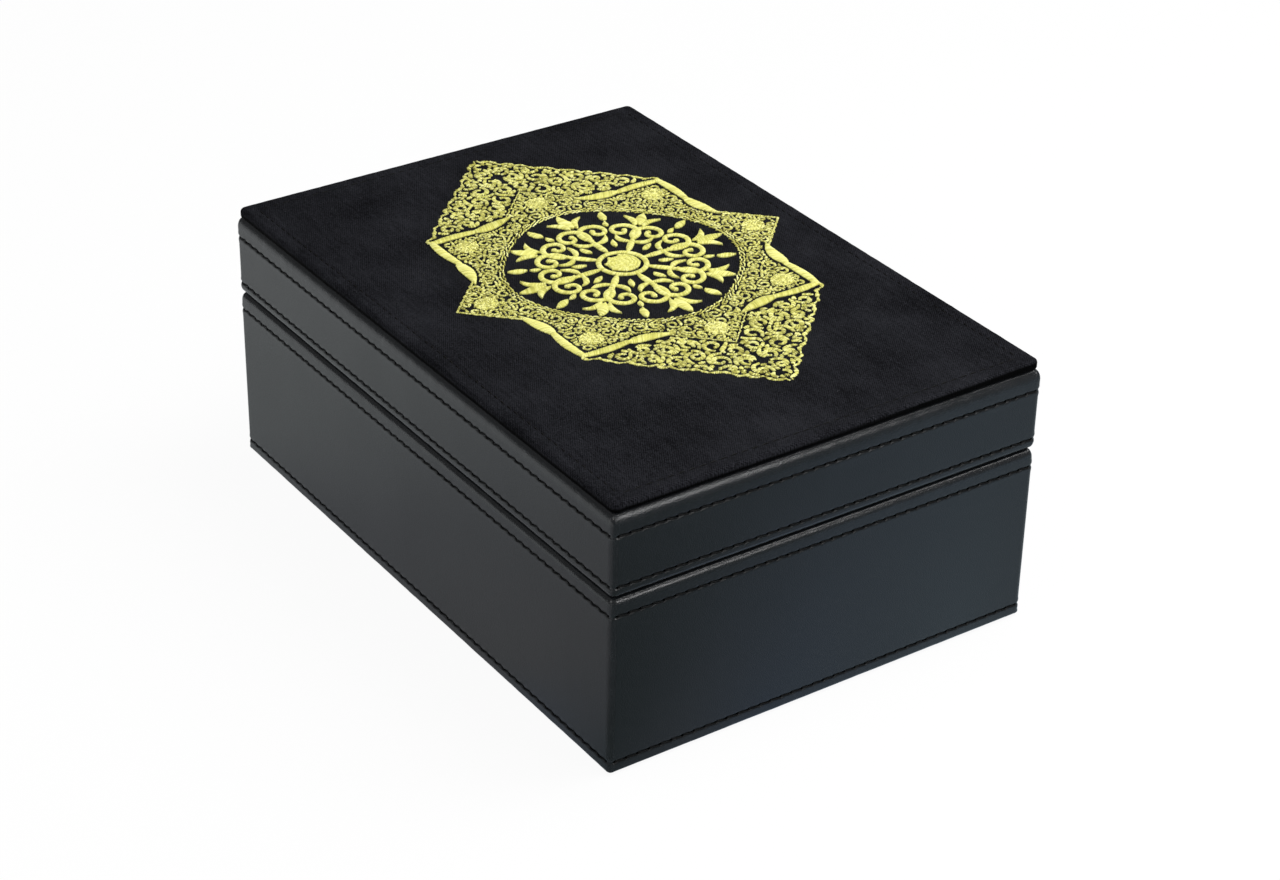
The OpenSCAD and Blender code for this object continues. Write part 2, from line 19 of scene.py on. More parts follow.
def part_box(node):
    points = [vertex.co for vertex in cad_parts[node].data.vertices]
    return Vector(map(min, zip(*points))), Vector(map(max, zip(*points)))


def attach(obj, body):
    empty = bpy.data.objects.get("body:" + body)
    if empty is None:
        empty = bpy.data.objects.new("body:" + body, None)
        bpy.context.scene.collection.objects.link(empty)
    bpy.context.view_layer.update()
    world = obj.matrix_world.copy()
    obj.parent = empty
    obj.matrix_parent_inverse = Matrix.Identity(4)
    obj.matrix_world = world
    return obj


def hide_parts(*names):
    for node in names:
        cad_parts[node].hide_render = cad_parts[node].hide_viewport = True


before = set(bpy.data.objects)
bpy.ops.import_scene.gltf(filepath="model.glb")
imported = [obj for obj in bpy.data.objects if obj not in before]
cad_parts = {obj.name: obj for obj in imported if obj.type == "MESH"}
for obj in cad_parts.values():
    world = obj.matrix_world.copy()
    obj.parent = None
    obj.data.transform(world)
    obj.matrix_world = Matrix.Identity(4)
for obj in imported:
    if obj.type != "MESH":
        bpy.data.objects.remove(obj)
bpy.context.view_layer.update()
MM = 0.001


def box_mm(node):
    """Lowest and highest corner of a CAD node, in millimetres."""
    return [np.array(corner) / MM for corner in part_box(node)]


def add_object(name, data):
    """A new object with this data, linked to the scene."""
    made = bpy.data.objects.new(name, data)
    bpy.context.collection.objects.link(made)
    return made


# %% [markdown]
# ## The camera
#
# A photograph's camera can be found again from the corners of the box: eight corners whose real places are
# known fix the turn, the height, the distance and the focal length. The camera is built from its own three
# axes, because that keeps the small roll of a hand-held shot, which a "look at" constraint would lose.

# %% Camera
PHOTO_WIDTH = 1280                     # pixels
FOCAL = 2978.5                         # pixels
SENSOR = 36.0                          # the width of a full-frame sensor
AZIMUTH, ELEVATION, ROLL = (math.radians(a) for a in (-34.944, 30.531, 1.184))
DISTANCE, AIM_RIGHT, AIM_UP = 1165.5, 7.73, -12.9

panel_top = box_mm("lid_panel_cloth")[1][2]

back = Vector((math.sin(AZIMUTH) * math.cos(ELEVATION),
               -math.cos(AZIMUTH) * math.cos(ELEVATION),
               math.sin(ELEVATION)))
level_right = Vector((math.cos(AZIMUTH), math.sin(AZIMUTH), 0))
level_up = back.cross(level_right)
right = math.cos(ROLL) * level_right + math.sin(ROLL) * level_up
up = math.cos(ROLL) * level_up - math.sin(ROLL) * level_right
eye = Vector((0, 0, panel_top / 2)) + DISTANCE * back + AIM_RIGHT * right + AIM_UP * up

camera = add_object("camera", bpy.data.cameras.new("camera"))
camera.data.sensor_width = SENSOR
camera.data.sensor_fit = "HORIZONTAL"
camera.data.lens = FOCAL * SENSOR / PHOTO_WIDTH
camera.matrix_world = Matrix.Translation(eye * MM) @ Matrix((right, up, back)).transposed().to_4x4()
bpy.context.scene.camera = camera
print(f"camera: {camera.data.lens:.1f} mm lens, {DISTANCE:.0f} mm away")

# %% [markdown]
# ## Wires: shader maths as Python
#
# A procedural finish is a sum of small sums: grain plus creases, less the worn edge. Placing Math nodes by
# hand hides that. So one class wraps a socket, and `1 - mask * 0.3` adds the nodes it needs. Its `node`
# method adds any other node: settings first, because they decide which sockets exist, then the sockets.

# %% The Wire class


class Wire:
    """One output socket in a node tree. Arithmetic on wires adds Math nodes to that tree."""

    def __init__(self, tree, socket=None):
        self.tree = tree
        self.socket = socket

    @staticmethod
    def find(sockets, key):
        """A socket by its place in the list, or the first one of that name that is switched on."""
        if isinstance(key, int):
            return sockets[key]
        return next(s for s in sockets if s.name == key and s.enabled)

    def node(self, kind, settings=None, sockets=None, out=0):
        """Add a node, with its settings and then its sockets' values or links, and return an output."""
        made = self.tree.nodes.new(kind)
        for name, value in (settings or {}).items():
            if name == "stops":
                self.set_stops(made.color_ramp, value)
            else:
                setattr(made, name, value)
        for name, value in (sockets or {}).items():
            socket = self.find(made.inputs, name)
            if isinstance(value, Wire):
                self.tree.links.new(value.socket, socket)
            else:
                socket.default_value = value
        return Wire(self.tree, self.find(made.outputs, out)) if len(made.outputs) else None

    @staticmethod
    def set_stops(ramp, stops):
        """Give a colour ramp its (place, colour) stops."""
        while len(ramp.elements) < len(stops):
            ramp.elements.new(1.0)
        for element, (place, colour) in zip(ramp.elements, stops):
            element.position = place
            element.color = colour

    def math(self, operation, a, b=0.0):
        return self.node("ShaderNodeMath", {"operation": operation}, {0: a, 1: b})

    def __add__(self, other):
        return self.math("ADD", self, other)

    __radd__ = __add__

    def __sub__(self, other):
        return self.math("SUBTRACT", self, other)

    def __rsub__(self, other):
        return self.math("SUBTRACT", other, self)

    def __mul__(self, other):
        return self.math("MULTIPLY", self, other)

    def __truediv__(self, other):
        return self.math("DIVIDE", self, other)

    def sine(self):
        return self.math("SINE", self)

    def between(self, low, high):
        """0 below low, 1 above high, smooth in between."""
        return self.node("ShaderNodeMapRange", {"interpolation_type": "SMOOTHSTEP"},
                         {"Value": self, "From Min": low, "From Max": high})


print("Wire ready: + - * / and node()")

# %% [markdown]
# ## Starting and closing a finish
#
# Every finish begins with Object coordinates, which are metres here, since each piece sits at the origin
# with its place in its mesh. A texture's `scale` is then the number of features in a metre, so it is clearer
# to name a feature by its size in millimetres and let a helper work out the scale.

# %% Material helpers


def new_finish(name):
    """A new material, a wire into its empty tree, and its Object coordinates."""
    material = bpy.data.materials.new(name)
    material.use_nodes = True
    material.node_tree.nodes.clear()
    start = Wire(material.node_tree)
    return material, start, start.node("ShaderNodeTexCoord", out="Object")


def close_finish(start, **sockets):
    """End a material in a Principled shader. Socket names take underscores for their spaces."""
    named = {key.replace("_", " "): value for key, value in sockets.items()}
    shader = start.node("ShaderNodeBsdfPrincipled", sockets=named)
    start.node("ShaderNodeOutputMaterial", sockets={"Surface": shader})


def attribute(start, name):
    """A number that the mesh carries under this name."""
    return start.node("ShaderNodeAttribute", {"attribute_name": name}, out="Fac")


def ramp(factor, stops):
    """A colour ramp with (place, colour) stops."""
    return factor.node("ShaderNodeValToRGB", {"stops": stops}, {"Fac": factor}, out="Color")


def noise(place, size, detail=2.0, roughness=0.5):
    """Cloudy noise whose features are about `size` millimetres."""
    return place.node("ShaderNodeTexNoise", sockets={
        "Vector": place, "Scale": 1 / (size * MM), "Detail": detail, "Roughness": roughness}, out="Fac")


def cells(place, size):
    """Distance from the middle of the nearest of many cells, about `size` millimetres across."""
    return place.node("ShaderNodeTexVoronoi", sockets={
        "Vector": place, "Scale": 1 / (size * MM)}, out="Distance")


def blend_colours(factor, a, b):
    """Colour a where the factor is 0 and colour b where it is 1."""
    return factor.node("ShaderNodeMix", {"data_type": "RGBA"}, {"Factor": factor, "A": a, "B": b},
                       out="Result")


def bump(height, depth):
    """A Bump node: height 0 to 1 stands for `depth` millimetres."""
    return height.node("ShaderNodeBump", sockets={"Height": height, "Distance": depth * MM, "Strength": 1.0})


def stretched(place, x, y, z):
    """Coordinates scaled along each axis, so that round features turn into streaks."""
    return place.node("ShaderNodeMapping", sockets={"Vector": place, "Scale": (x, y, z)})


def grey(value):
    return (value, value, value, 1.0)


print("material helpers ready")

# %% [markdown]
# ## Studio
#
# The photograph has a white background with hardly any shadow. A floor that is bright enough to be white
# would also light the box from below. So the camera sees mostly plain white, through Light Path, and the
# light that falls on the box comes from an ordinary pale floor. A part of that floor stays in what the camera
# sees and keeps the shadow.
#
# Black leather shows little of its own colour: what the eye reads is what it mirrors. So reflections see a
# painted floor of their own, grey on the left, with a painted dark patch before the near corner, and bluish
# on the right. They also see a painted sky, dimmer than the one that lights the box.

# %% Floor
WHITE_SHARE = 0.94                     # plain white in what the camera sees of the floor
FLOOR_HALF = 4000.0
# painted reflection: a dark patch that only reflections see before the near corner, and tints on the right
SHADE_SPOT, SHADE_REACH, SHADE_LONG = (-40, -270), 495, 0.75     # the mirrored dark before the near corner
TINT_SLOPE, TINT_START, TINT_REACH = 1.2, -330, 300              # the mirrored tints on the right
TINT_SEAM = 60                         # half the width of the join between left and right

floor_mesh = bpy.data.meshes.new("floor")
floor_mesh.from_pydata([(x * FLOOR_HALF * MM, y * FLOOR_HALF * MM, 0) for x, y in
                        ((-1, -1), (1, -1), (1, 1), (-1, 1))], [], [(0, 1, 2, 3)])
floor = add_object("floor", floor_mesh)

floor_material, wire, place = new_finish("studio_floor")
ray = {name: wire.node("ShaderNodeLightPath", out=name)
       for name in ("Is Camera Ray", "Is Glossy Ray", "Is Transmission Ray")}
about_spot = place.node("ShaderNodeMapping", sockets={
    "Vector": place, "Scale": (1, SHADE_LONG, 1),
    "Location": (-SHADE_SPOT[0] * MM, -SHADE_SPOT[1] * SHADE_LONG * MM, 0)})
from_spot = place.node("ShaderNodeVectorMath", {"operation": "LENGTH"}, {0: about_spot}, out="Value")
across, along = (place.node("ShaderNodeSeparateXYZ", sockets={"Vector": place}, out=axis) for axis in "XY")
# painted reflection: colours of the floor that only glossy rays see
left_painted_reflection = ramp(from_spot / (SHADE_REACH * MM), [
    (0.0, (0.02, 0.02, 0.02, 1)), (0.36, (0.39, 0.40, 0.42, 1)), (0.52, (0.43, 0.45, 0.48, 1)),
    (0.67, (0.62, 0.66, 0.67, 1)), (1.0, (0.84, 0.87, 0.88, 1))])
right_painted_reflection = ramp((across + along * TINT_SLOPE - TINT_START * MM) / (TINT_REACH * MM), [
    (0.03, (0.14, 0.18, 0.19, 1)), (0.15, (0.07, 0.12, 0.11, 1)), (0.34, (0.31, 0.37, 0.44, 1)),
    (0.46, (0.36, 0.47, 0.63, 1)), (0.66, (0.43, 0.55, 0.66, 1)), (0.76, (0.50, 0.65, 0.77, 1)),
    (1.0, (0.36, 0.42, 0.46, 1))])
on_right = (across - along).between(-TINT_SEAM * MM, TINT_SEAM * MM)
painted_floor_reflection = blend_colours(on_right, left_painted_reflection, right_painted_reflection)
seen = ray["Is Camera Ray"].math("MAXIMUM", ray["Is Camera Ray"], ray["Is Transmission Ray"])
seen = seen * WHITE_SHARE + ray["Is Glossy Ray"]
tint = blend_colours(ray["Is Glossy Ray"], grey(1.0), painted_floor_reflection)
paper = wire.node("ShaderNodeBsdfDiffuse", sockets={
    "Color": blend_colours(noise(place, 40), grey(0.84), grey(0.86))})
glow = wire.node("ShaderNodeEmission", sockets={"Color": tint, "Strength": 1.0})
wire.node("ShaderNodeOutputMaterial", sockets={"Surface": wire.node(
    "ShaderNodeMixShader", sockets={0: seen, 1: paper, 2: glow})})
floor_mesh.materials.append(floor_material)
print("floor:", FLOOR_HALF * 2, "mm square")

# %% Sky and lamps
world = bpy.data.worlds.new("studio_sky")
bpy.context.scene.world = world
world.use_nodes = True
world.node_tree.nodes.clear()
wire = Wire(world.node_tree)
direction = wire.node("ShaderNodeTexCoord", out="Generated")
height = wire.node("ShaderNodeSeparateXYZ", sockets={"Vector": direction}, out="Z")
sky = ramp(height, [(0.0, grey(0.35)), (0.35, grey(0.30)), (1.0, grey(0.55))])
# painted reflection: a dimmer sky that only glossy rays see
painted_sky_reflection = ramp(height, [(0.0, grey(0.16)), (0.3, grey(0.13)), (1.0, grey(0.36))])
ray = {name: wire.node("ShaderNodeLightPath", out=name) for name in ("Is Camera Ray", "Is Glossy Ray")}
sky = blend_colours(ray["Is Glossy Ray"], sky, painted_sky_reflection)
wire.node("ShaderNodeOutputWorld", sockets={"Surface": wire.node("ShaderNodeBackground", sockets={
    "Color": blend_colours(ray["Is Camera Ray"], sky, grey(1.0)), "Strength": 1.0})})

LAMPS = {
    # name: (place, aim, width, height, watts)
    "softbox_above": ((620, -250, 1200), (0, 0, 60), 700, 1000, 16.0),
    "softbox_left": ((-1300, -150, 900), (0, 0, 60), 800, 700, 4.0),
    "softbox_near": ((140, -560, 290), (-60, -135, 95), 220, 160, 0.65),
}
for name, (spot, aim, wide, tall, watts) in LAMPS.items():
    lamp = add_object(name, bpy.data.lights.new(name, "AREA"))
    lamp.data.shape = "RECTANGLE"
    lamp.data.size = wide * MM
    lamp.data.size_y = tall * MM
    lamp.data.energy = watts
    lamp.location = Vector(spot) * MM
    lamp.rotation_euler = (Vector(aim) - Vector(spot)).to_track_quat("-Z", "Y").to_euler()

bpy.context.scene.view_settings.view_transform = "Standard"
print("studio:", len(LAMPS), "lamps and a sky")

# %% [markdown]
# ## Black leather
#
# The leather is dyed black and lightly polished. Close up it has a fine grain of cells about half a
# millimetre across, soft wrinkles, and a slightly rubbed, smoother look along the rolled and upright edges
# and the raised places, where its colour is also painted lighter as a highlight. The mesh carries that last
# part as an attribute, and the depth of its stitch holes as another, since only the mesh knows where they
# are. Painted shade darkens the holes: they are black with full Metallic, so that they mirror nothing.

# %% Leather finish
leather, wire, place = new_finish("black_leather")
wear, pit = (attribute(wire, name) for name in ("wear", "pit"))
grain = cells(place, 0.55).between(0.0, 0.75)
fine = noise(place, 0.25, detail=3.0)
folds = noise(place, 6.0, detail=4.0, roughness=0.6)
cloud = noise(place, 45.0, detail=2.0)
dye = blend_colours(cloud * 0.6 + grain * 0.25, (0.0042, 0.0052, 0.0062, 1), (0.0085, 0.0100, 0.0115, 1))
# lighter where rubbed: real wear, and also a painted highlight on the rolled and upright edges
dye = blend_colours(wear * folds * 0.7, dye, (0.022, 0.024, 0.027, 1))
# painted shade: the stitch holes are black and mirror nothing
dye = blend_colours(pit, dye, grey(0.001))
close_finish(
    wire, Base_Color=dye, Specular_IOR_Level=0.5, Metallic=pit,
    Roughness=0.36 + (cloud - 0.5) * 0.10 + (fine - 0.5) * 0.12 - wear * 0.17 + pit * 0.5,
    Normal=bump(grain * 0.5 + fine * 0.2 + folds * 0.55, 0.07))
print("leather: grain 0.55 mm, folds 6 mm")

# %% [markdown]
# ## Meshes by numbers
#
# Most soft pieces of this box go once round a rectangle with rounded corners. So one outline gives the places
# and the outward directions, and a profile gives an inset and a height for each row. Sweeping the profile
# round the outline yields a grid of points. Where the inset is larger than the corner's radius, the points
# are held inside the shrunken rectangle, and the ones that meet are merged.

# %% Outline, sweep and piece helpers


def rounded_outline(half, radius, step, shares=(0.0,), arc_steps=7):
    """Stations counter-clockwise round a rounded rectangle, and its four straight sides.

    A side has a whole number of steps, with stations at the given shares of each. `to_joint` is a station's
    distance from the nearest end of a step."""
    places, outward, to_joint, sides = [], [], [], []
    for quarter in range(4):
        across, along = half if quarter % 2 == 0 else half[::-1]
        c, s = [(1, 0), (0, 1), (-1, 0), (0, -1)][quarter]
        rotate = np.array([[c, s], [-s, c]])
        count = max(2, round(2 * (along - radius) / step))
        pitch = 2 * (along - radius) / count
        share = np.tile(shares, count)
        side = (np.repeat(np.arange(count), len(shares)) + share) * pitch - (along - radius)
        turn = np.linspace(0, math.pi / 2, arc_steps, endpoint=False)
        arc = across - radius + radius * np.cos(turn), along - radius + radius * np.sin(turn)
        straight = np.column_stack([np.full(len(side), across), side])
        places.append(np.vstack([straight, np.column_stack(arc)]) @ rotate)
        outward.append(np.vstack([np.tile((1.0, 0.0), (len(side), 1)),
                                  np.column_stack([np.cos(turn), np.sin(turn)])]) @ rotate)
        to_joint.append(np.concatenate([np.minimum(share, 1 - share) * pitch,
                                        np.minimum(turn, math.pi / 2 - turn) * radius]))
        ends = np.array([(across, radius - along), (across, along - radius)]) @ rotate
        sides.append((ends[0], ends[1], np.array((1.0, 0.0)) @ rotate, pitch))
    places = np.vstack(places)
    steps = np.linalg.norm(np.roll(places, -1, axis=0) - places, axis=1)
    run = np.concatenate([[0], np.cumsum(steps)[:-1]])
    return {"half": np.array(half), "radius": radius, "places": places, "outward": np.vstack(outward),
            "to_joint": np.concatenate(to_joint), "sides": sides, "run": run, "length": steps.sum()}


def sweep(outline, inset, level):
    """A grid of points, rows by stations. inset and level are rows, or rows by stations."""
    inset, level = np.atleast_2d(inset), np.atleast_2d(level)
    if inset.shape[0] == 1:
        inset = inset.T
    if level.shape[0] == 1:
        level = level.T
    inset, level = np.broadcast_arrays(inset, level + 0 * outline["run"][None, :])
    pulled_in = np.minimum(inset, outline["radius"])[..., None]
    flat = outline["places"][None] - outline["outward"][None] * pulled_in
    room = np.maximum(outline["half"] - np.maximum(inset, 0)[..., None], 0)
    flat = np.clip(flat, -room, room)
    return np.concatenate([flat, level[..., None]], axis=2)


def grid_faces(rows, columns, close_rows):
    """Quads over a grid whose columns run round. close_rows joins the last row to the first."""
    i, j = np.meshgrid(np.arange(rows if close_rows else rows - 1), np.arange(columns), indexing="ij")
    i_next, j_next = (i + 1) % rows, (j + 1) % columns
    return np.stack([i * columns + j, i * columns + j_next,
                     i_next * columns + j_next, i_next * columns + j], axis=-1).reshape(-1, 4)


def mesh_piece(name, points, faces, material, attributes=None, merge=0.002):
    """A smooth mesh object from points in millimetres, with doubled points merged."""
    mesh = bpy.data.meshes.new(name)
    mesh.from_pydata((np.asarray(points).reshape(-1, 3) * MM).tolist(), [], np.asarray(faces).tolist())
    for label, values in (attributes or {}).items():
        layer = mesh.attributes.new(label, "FLOAT", "POINT")
        layer.data.foreach_set("value", np.asarray(values, dtype=np.float32).ravel())
    work = bmesh.new()
    work.from_mesh(mesh)
    bmesh.ops.remove_doubles(work, verts=work.verts, dist=merge * MM)
    bmesh.ops.dissolve_degenerate(work, edges=work.edges, dist=merge * MM / 2)
    work.to_mesh(mesh)
    work.free()
    mesh.shade_smooth()
    mesh.materials.append(material)
    return add_object(name, mesh)


def place_piece(made, body, nodes=()):
    """Tie a piece to the body it moves with, and hide the CAD nodes that it stands for."""
    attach(made, body)
    if nodes:
        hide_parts(*nodes)
    made.data.calc_loop_triangles()
    print(f"{made.name}: {len(made.data.loop_triangles)} triangles on {body}")


def waves(run, length, sizes, rng):
    """Smooth noise round a closed run, -1 to 1, from waves of the given sizes in millimetres."""
    total = np.zeros_like(run)
    for size in sizes:
        turns = max(1, round(length / size))
        total += np.sin(2 * math.pi * turns * run / length + rng.uniform(0, 2 * math.pi))
    return total / len(sizes)


print("mesh helpers ready")

# %% [markdown]
# ## The leather skins
#
# One piece of leather is glued round the walls of each half. It is turned under the closed side, rolled
# over a soft edge, and turned in over the rim. Each edge is top-stitched: the seam pulls the leather into a
# furrow, and every stitch hole puckers it. A bump texture would give flat furrows at the outline, so the
# furrows are in the mesh: the profile has close rows round each seam, and stations crowd round each hole.

# %% Leather profile
LEATHER = 0.8                          # thickness
FOOT = (1.4, 1.4)                      # how far in and how far up each rolled edge reaches
BASE_RIM = (2.2, 3.0)
LID_TOP = (3.6, 5.6)
LID_RIM = (1.7, 2.0)
CORNER = 2.6                           # radius of the upright edges
HEM, TURN_IN = 15.0, 12.0              # how far it goes under the closed side, and down inside the rim
RIM = 9.6                              # across the rim, with leather on both sides
STITCH = 4.9                           # aimed length of one top stitch
STATIONS = np.array([0.0, 0.08, 0.17, 0.5, 0.83, 0.92])        # shares of a stitch, close at its two holes
SEAM_OFFSETS = np.array([-2.6, -1.9, -1.4, -1.0, -0.65, -0.35, 0.0, 0.35, 0.65, 1.0, 1.4, 1.9, 2.6])
ROLL_STEPS = np.radians(np.linspace(0, 90, 8))


def side_levels(low, high, seams):
    """Heights of the rows up the side: close together at the seams, far apart elsewhere."""
    levels = np.concatenate([np.linspace(low, high, 9)] + [seam + SEAM_OFFSETS for seam in seams])
    levels = np.unique(levels[(levels > low) & (levels < high)].round(2))
    kept = [levels[0]]
    for level in levels[1:]:
        if level - kept[-1] > 0.25:
            kept.append(level)
    return np.array(kept)


def leather_profile(tall, seams, closed, rim):
    """Rows (inset, level) from the hem, over the rim and back inside, and 1 for each row that shows."""
    closed_reach, closed_roll = closed
    rim_reach, rim_roll = rim
    bend, rise = 1 - np.sin(ROLL_STEPS), 1 - np.cos(ROLL_STEPS)
    side = side_levels(closed_roll, tall - rim_roll, seams)
    inner_bend, inner_rise = bend[::3], rise[::3]
    outer = [(HEM, 0.0), (closed_reach + 5, 0.0)]
    outer += list(zip(closed_reach * bend, closed_roll * rise))
    outer += [(0.0, level) for level in side]
    outer += list(zip(rim_reach * rise, tall - rim_roll * bend))
    outer += [(RIM - 2.5, tall), (RIM - 0.8, tall), (RIM - 0.24, tall - 0.24), (RIM, tall - 0.8)]
    outer += [(RIM, tall - TURN_IN)]
    inside = [(RIM - LEATHER, tall - TURN_IN), (RIM - LEATHER, tall - LEATHER)]
    inside += list(zip(LEATHER + (rim_reach - LEATHER) * inner_rise[::-1],
                       tall - LEATHER - (rim_roll - LEATHER) * inner_bend[::-1]))
    inside += list(zip(LEATHER + (closed_reach - LEATHER) * inner_bend[::-1],
                       LEATHER + (closed_roll - LEATHER) * inner_rise[::-1]))
    inside += [(HEM, LEATHER)]
    shown = [0.0] * 2 + [1.0] * (2 * len(ROLL_STEPS) + len(side)) + [0.0] * (5 + len(inside))
    return np.array(outer + inside), np.array(shown)


print("leather rolls in", len(ROLL_STEPS), "rows a quarter turn")

# %% Leather relief
FURROW, PUCKER, PILLOW, RIPPLE = 0.20, 0.56, 0.15, 0.13
HOLE_REACH, FURROW_REACH = 0.8, 0.6
PILLOW_AT, PILLOW_REACH = 1.5, 0.8     # the swell on each side of a furrow
ROLL_AT, ROLL_REACH = 0.4, 0.7         # shares of a rolled edge's height
RIM_WAVES, WALL_WAVES = (7, 11, 16, 27, 43), (60, 95, 140)
HINGE_EASE = 0.42                      # the rims are pressed flatter where they roll past each other
BELLY, CORNER_FOLD = 0.10, 0.45        # the give of a wall, and the leather folded at a closed corner
CLOSED_RIPPLE, RIM_LIFT = 0.6, 0.6     # shares of the ripple on a closed edge, and in a rim's height
APART = 77                             # stations between the ripples of the two edges, so that they differ
# painted shade in the stitch holes: how fast it darkens, and what of it stays plain
HOLE_SHADE_GAIN, HOLE_SHADE_START = 1.9, 0.3         # how fast a hole darkens, and what of it stays plain
# the next two: rubbed places, whose colour is also painted lighter as a highlight
WEAR_HIGHLIGHT_START, WEAR_HIGHLIGHT_GAIN = 0.35, 1.4      # where a roll begins to look rubbed, and how fast
RAISED_WEAR_HIGHLIGHT = 1.6                      # how much a raised place is rubbed, for each millimetre


def seam_relief(level, to_hole, seam):
    """How far the leather stands out near a seam, in millimetres, and its stitch holes, 0 to 1."""
    off = level[:, None] - seam
    hole = np.exp(-(to_hole[None, :] / HOLE_REACH) ** 2)
    furrow = np.exp(-(off / FURROW_REACH) ** 2)
    pillow = np.exp(-((np.abs(off) - PILLOW_AT) / PILLOW_REACH) ** 2)
    return -furrow * (FURROW + PUCKER * hole) + pillow * PILLOW * (1 - 0.5 * hole), furrow * hole


def on_roll(from_edge, roll):
    """1 on a rolled edge of the height `roll`, and less away from it."""
    return np.exp(-((from_edge - ROLL_AT * roll) / (ROLL_REACH * roll)) ** 2)


def leather_skin(name, node, seams, closed_edge, rim_edge, lid):
    """A leather skin in the place of a CAD node, with its furrows, and the outline that it follows."""
    low, high = box_mm(node)
    tall = high[2] - low[2]
    rng = np.random.default_rng(11 + lid)
    outline = rounded_outline((high[:2] - low[:2]) / 2, CORNER, STITCH, STATIONS)
    profile, shown = leather_profile(tall, seams, closed_edge, rim_edge)
    inset, level = profile.T
    reliefs = [seam_relief(level, outline["to_joint"], seam) for seam in seams]
    out = sum(relief for relief, _ in reliefs)
    # painted shade in the stitch holes, on the rows that show
    pit = np.clip(sum(holes for _, holes in reliefs) * HOLE_SHADE_GAIN - HOLE_SHADE_START, 0, 1) * shown[:, None]
    rim, closed = on_roll(tall - level, rim_edge[1]), on_roll(level, closed_edge[1])
    ripple = waves(outline["run"], outline["length"], RIM_WAVES, rng)
    slow = waves(outline["run"], outline["length"], WALL_WAVES, rng)
    hinge_side = np.clip(outline["outward"][:, 0] * 1.5 - 0.5, 0, 1)
    rim_ripple = ripple * RIPPLE * (1 - hinge_side)
    belly = np.clip(4 * (level / tall) * (1 - level / tall), 0, 1)
    corner = np.min(np.abs(outline["outward"]), axis=1) / math.sqrt(0.5)
    out = out + np.outer(rim, rim_ripple - HINGE_EASE * hinge_side)
    out = out + np.outer(closed, np.roll(ripple, APART) * RIPPLE * CLOSED_RIPPLE + corner * CORNER_FOLD)
    out = (out + np.outer(belly, slow) * BELLY) * shown[:, None]
    raised = level[:, None] - np.outer(rim * shown, rim_ripple) * RIM_LIFT
    points = sweep(outline, inset[:, None] - out, high[2] - raised if lid else low[2] + raised)
    faces = grid_faces(len(profile), len(outline["run"]), close_rows=True)
    # rubbed places, also painted lighter as a highlight: the rolls, the upright edges and what stands out
    roll = np.clip((np.maximum(rim, closed) - WEAR_HIGHLIGHT_START) * WEAR_HIGHLIGHT_GAIN, 0, 1) * shown
    upright = (corner > 0.03) * shown[:, None]
    wear = np.clip(roll[:, None] + np.clip(out, 0, 1) * RAISED_WEAR_HIGHLIGHT + upright, 0, 1)
    made = mesh_piece(name, points, faces[:, ::-1] if lid else faces, leather, {"wear": wear, "pit": pit})
    return made, outline


BASE_SEAMS, LID_SEAMS = (4.7, 66.2), (8.8, 29.3)      # up from each half's closed side
base_leather, base_outline = leather_skin(
    "base_leather", "base_leather_wrap", BASE_SEAMS, FOOT, BASE_RIM, lid=False)
lid_leather, lid_outline = leather_skin(
    "lid_leather", "lid_leather_wrap", LID_SEAMS, LID_TOP, LID_RIM, lid=True)
print("stitches of", [round(side[3], 2) for side in base_outline["sides"]], "mm round the box")

# %% [markdown]
# ## Room for the hinges
#
# The leather is cut away where the brass leaves and their barrels lie. A Boolean modifier does that from
# simple cutters, and its result is kept as a plain mesh, so nothing live is left on the piece.

# %% Hinge cut-outs
CLEARANCE = 0.12                       # round a leaf, and twice that round a barrel


def hinge_cutter(nodes):
    """Boxes a little larger than the hinge leaves, and a round bar for each barrel, as one mesh."""
    work = bmesh.new()
    for leaf, pin in nodes:
        low, high = box_mm(leaf)
        pin_low, pin_high = box_mm(pin)
        middle = (pin_low + pin_high) / 2
        barrel = (high[0] - middle[0]) + CLEARANCE * 2
        low, high = low - CLEARANCE, high + CLEARANCE
        high[0] = middle[0]
        cut = bmesh.ops.create_cube(work, size=1)["verts"]
        bmesh.ops.scale(work, vec=high - low, verts=cut)
        bmesh.ops.translate(work, vec=(high + low) / 2, verts=cut)
        bar = bmesh.ops.create_cone(work, cap_ends=True, segments=24, radius1=barrel, radius2=barrel,
                                    depth=high[1] - low[1] + 0.1)["verts"]
        bmesh.ops.rotate(work, verts=bar, matrix=Matrix.Rotation(math.pi / 2, 3, "X"))
        bmesh.ops.translate(work, vec=(middle[0], (high[1] + low[1]) / 2, middle[2]), verts=bar)
    bmesh.ops.scale(work, vec=(MM, MM, MM), verts=work.verts)
    mesh = bpy.data.meshes.new("cutter")
    work.to_mesh(mesh)
    work.free()
    return add_object("cutter", mesh)


def settle(made):
    """Replace a piece's mesh by what its modifiers make of it, and remove them."""
    depsgraph = bpy.context.evaluated_depsgraph_get()
    result = bpy.data.meshes.new_from_object(made.evaluated_get(depsgraph), depsgraph=depsgraph)
    made.modifiers.clear()
    plain = made.data
    made.data = result
    bpy.data.meshes.remove(plain)


for skin, half in ((base_leather, "base"), (lid_leather, "lid")):
    cutter = hinge_cutter([(f"{end}_hinge_{half}_leaf", f"{end}_hinge_pin") for end in ("near", "far")])
    cut = skin.modifiers.new("hinge_room", "BOOLEAN")
    cut.object = cutter
    cut.operation = "DIFFERENCE"
    cut.solver = "EXACT"
    cut.use_self = True
    settle(skin)
    bpy.data.objects.remove(cutter)
    place_piece(skin, half, [f"{half}_leather_wrap"])

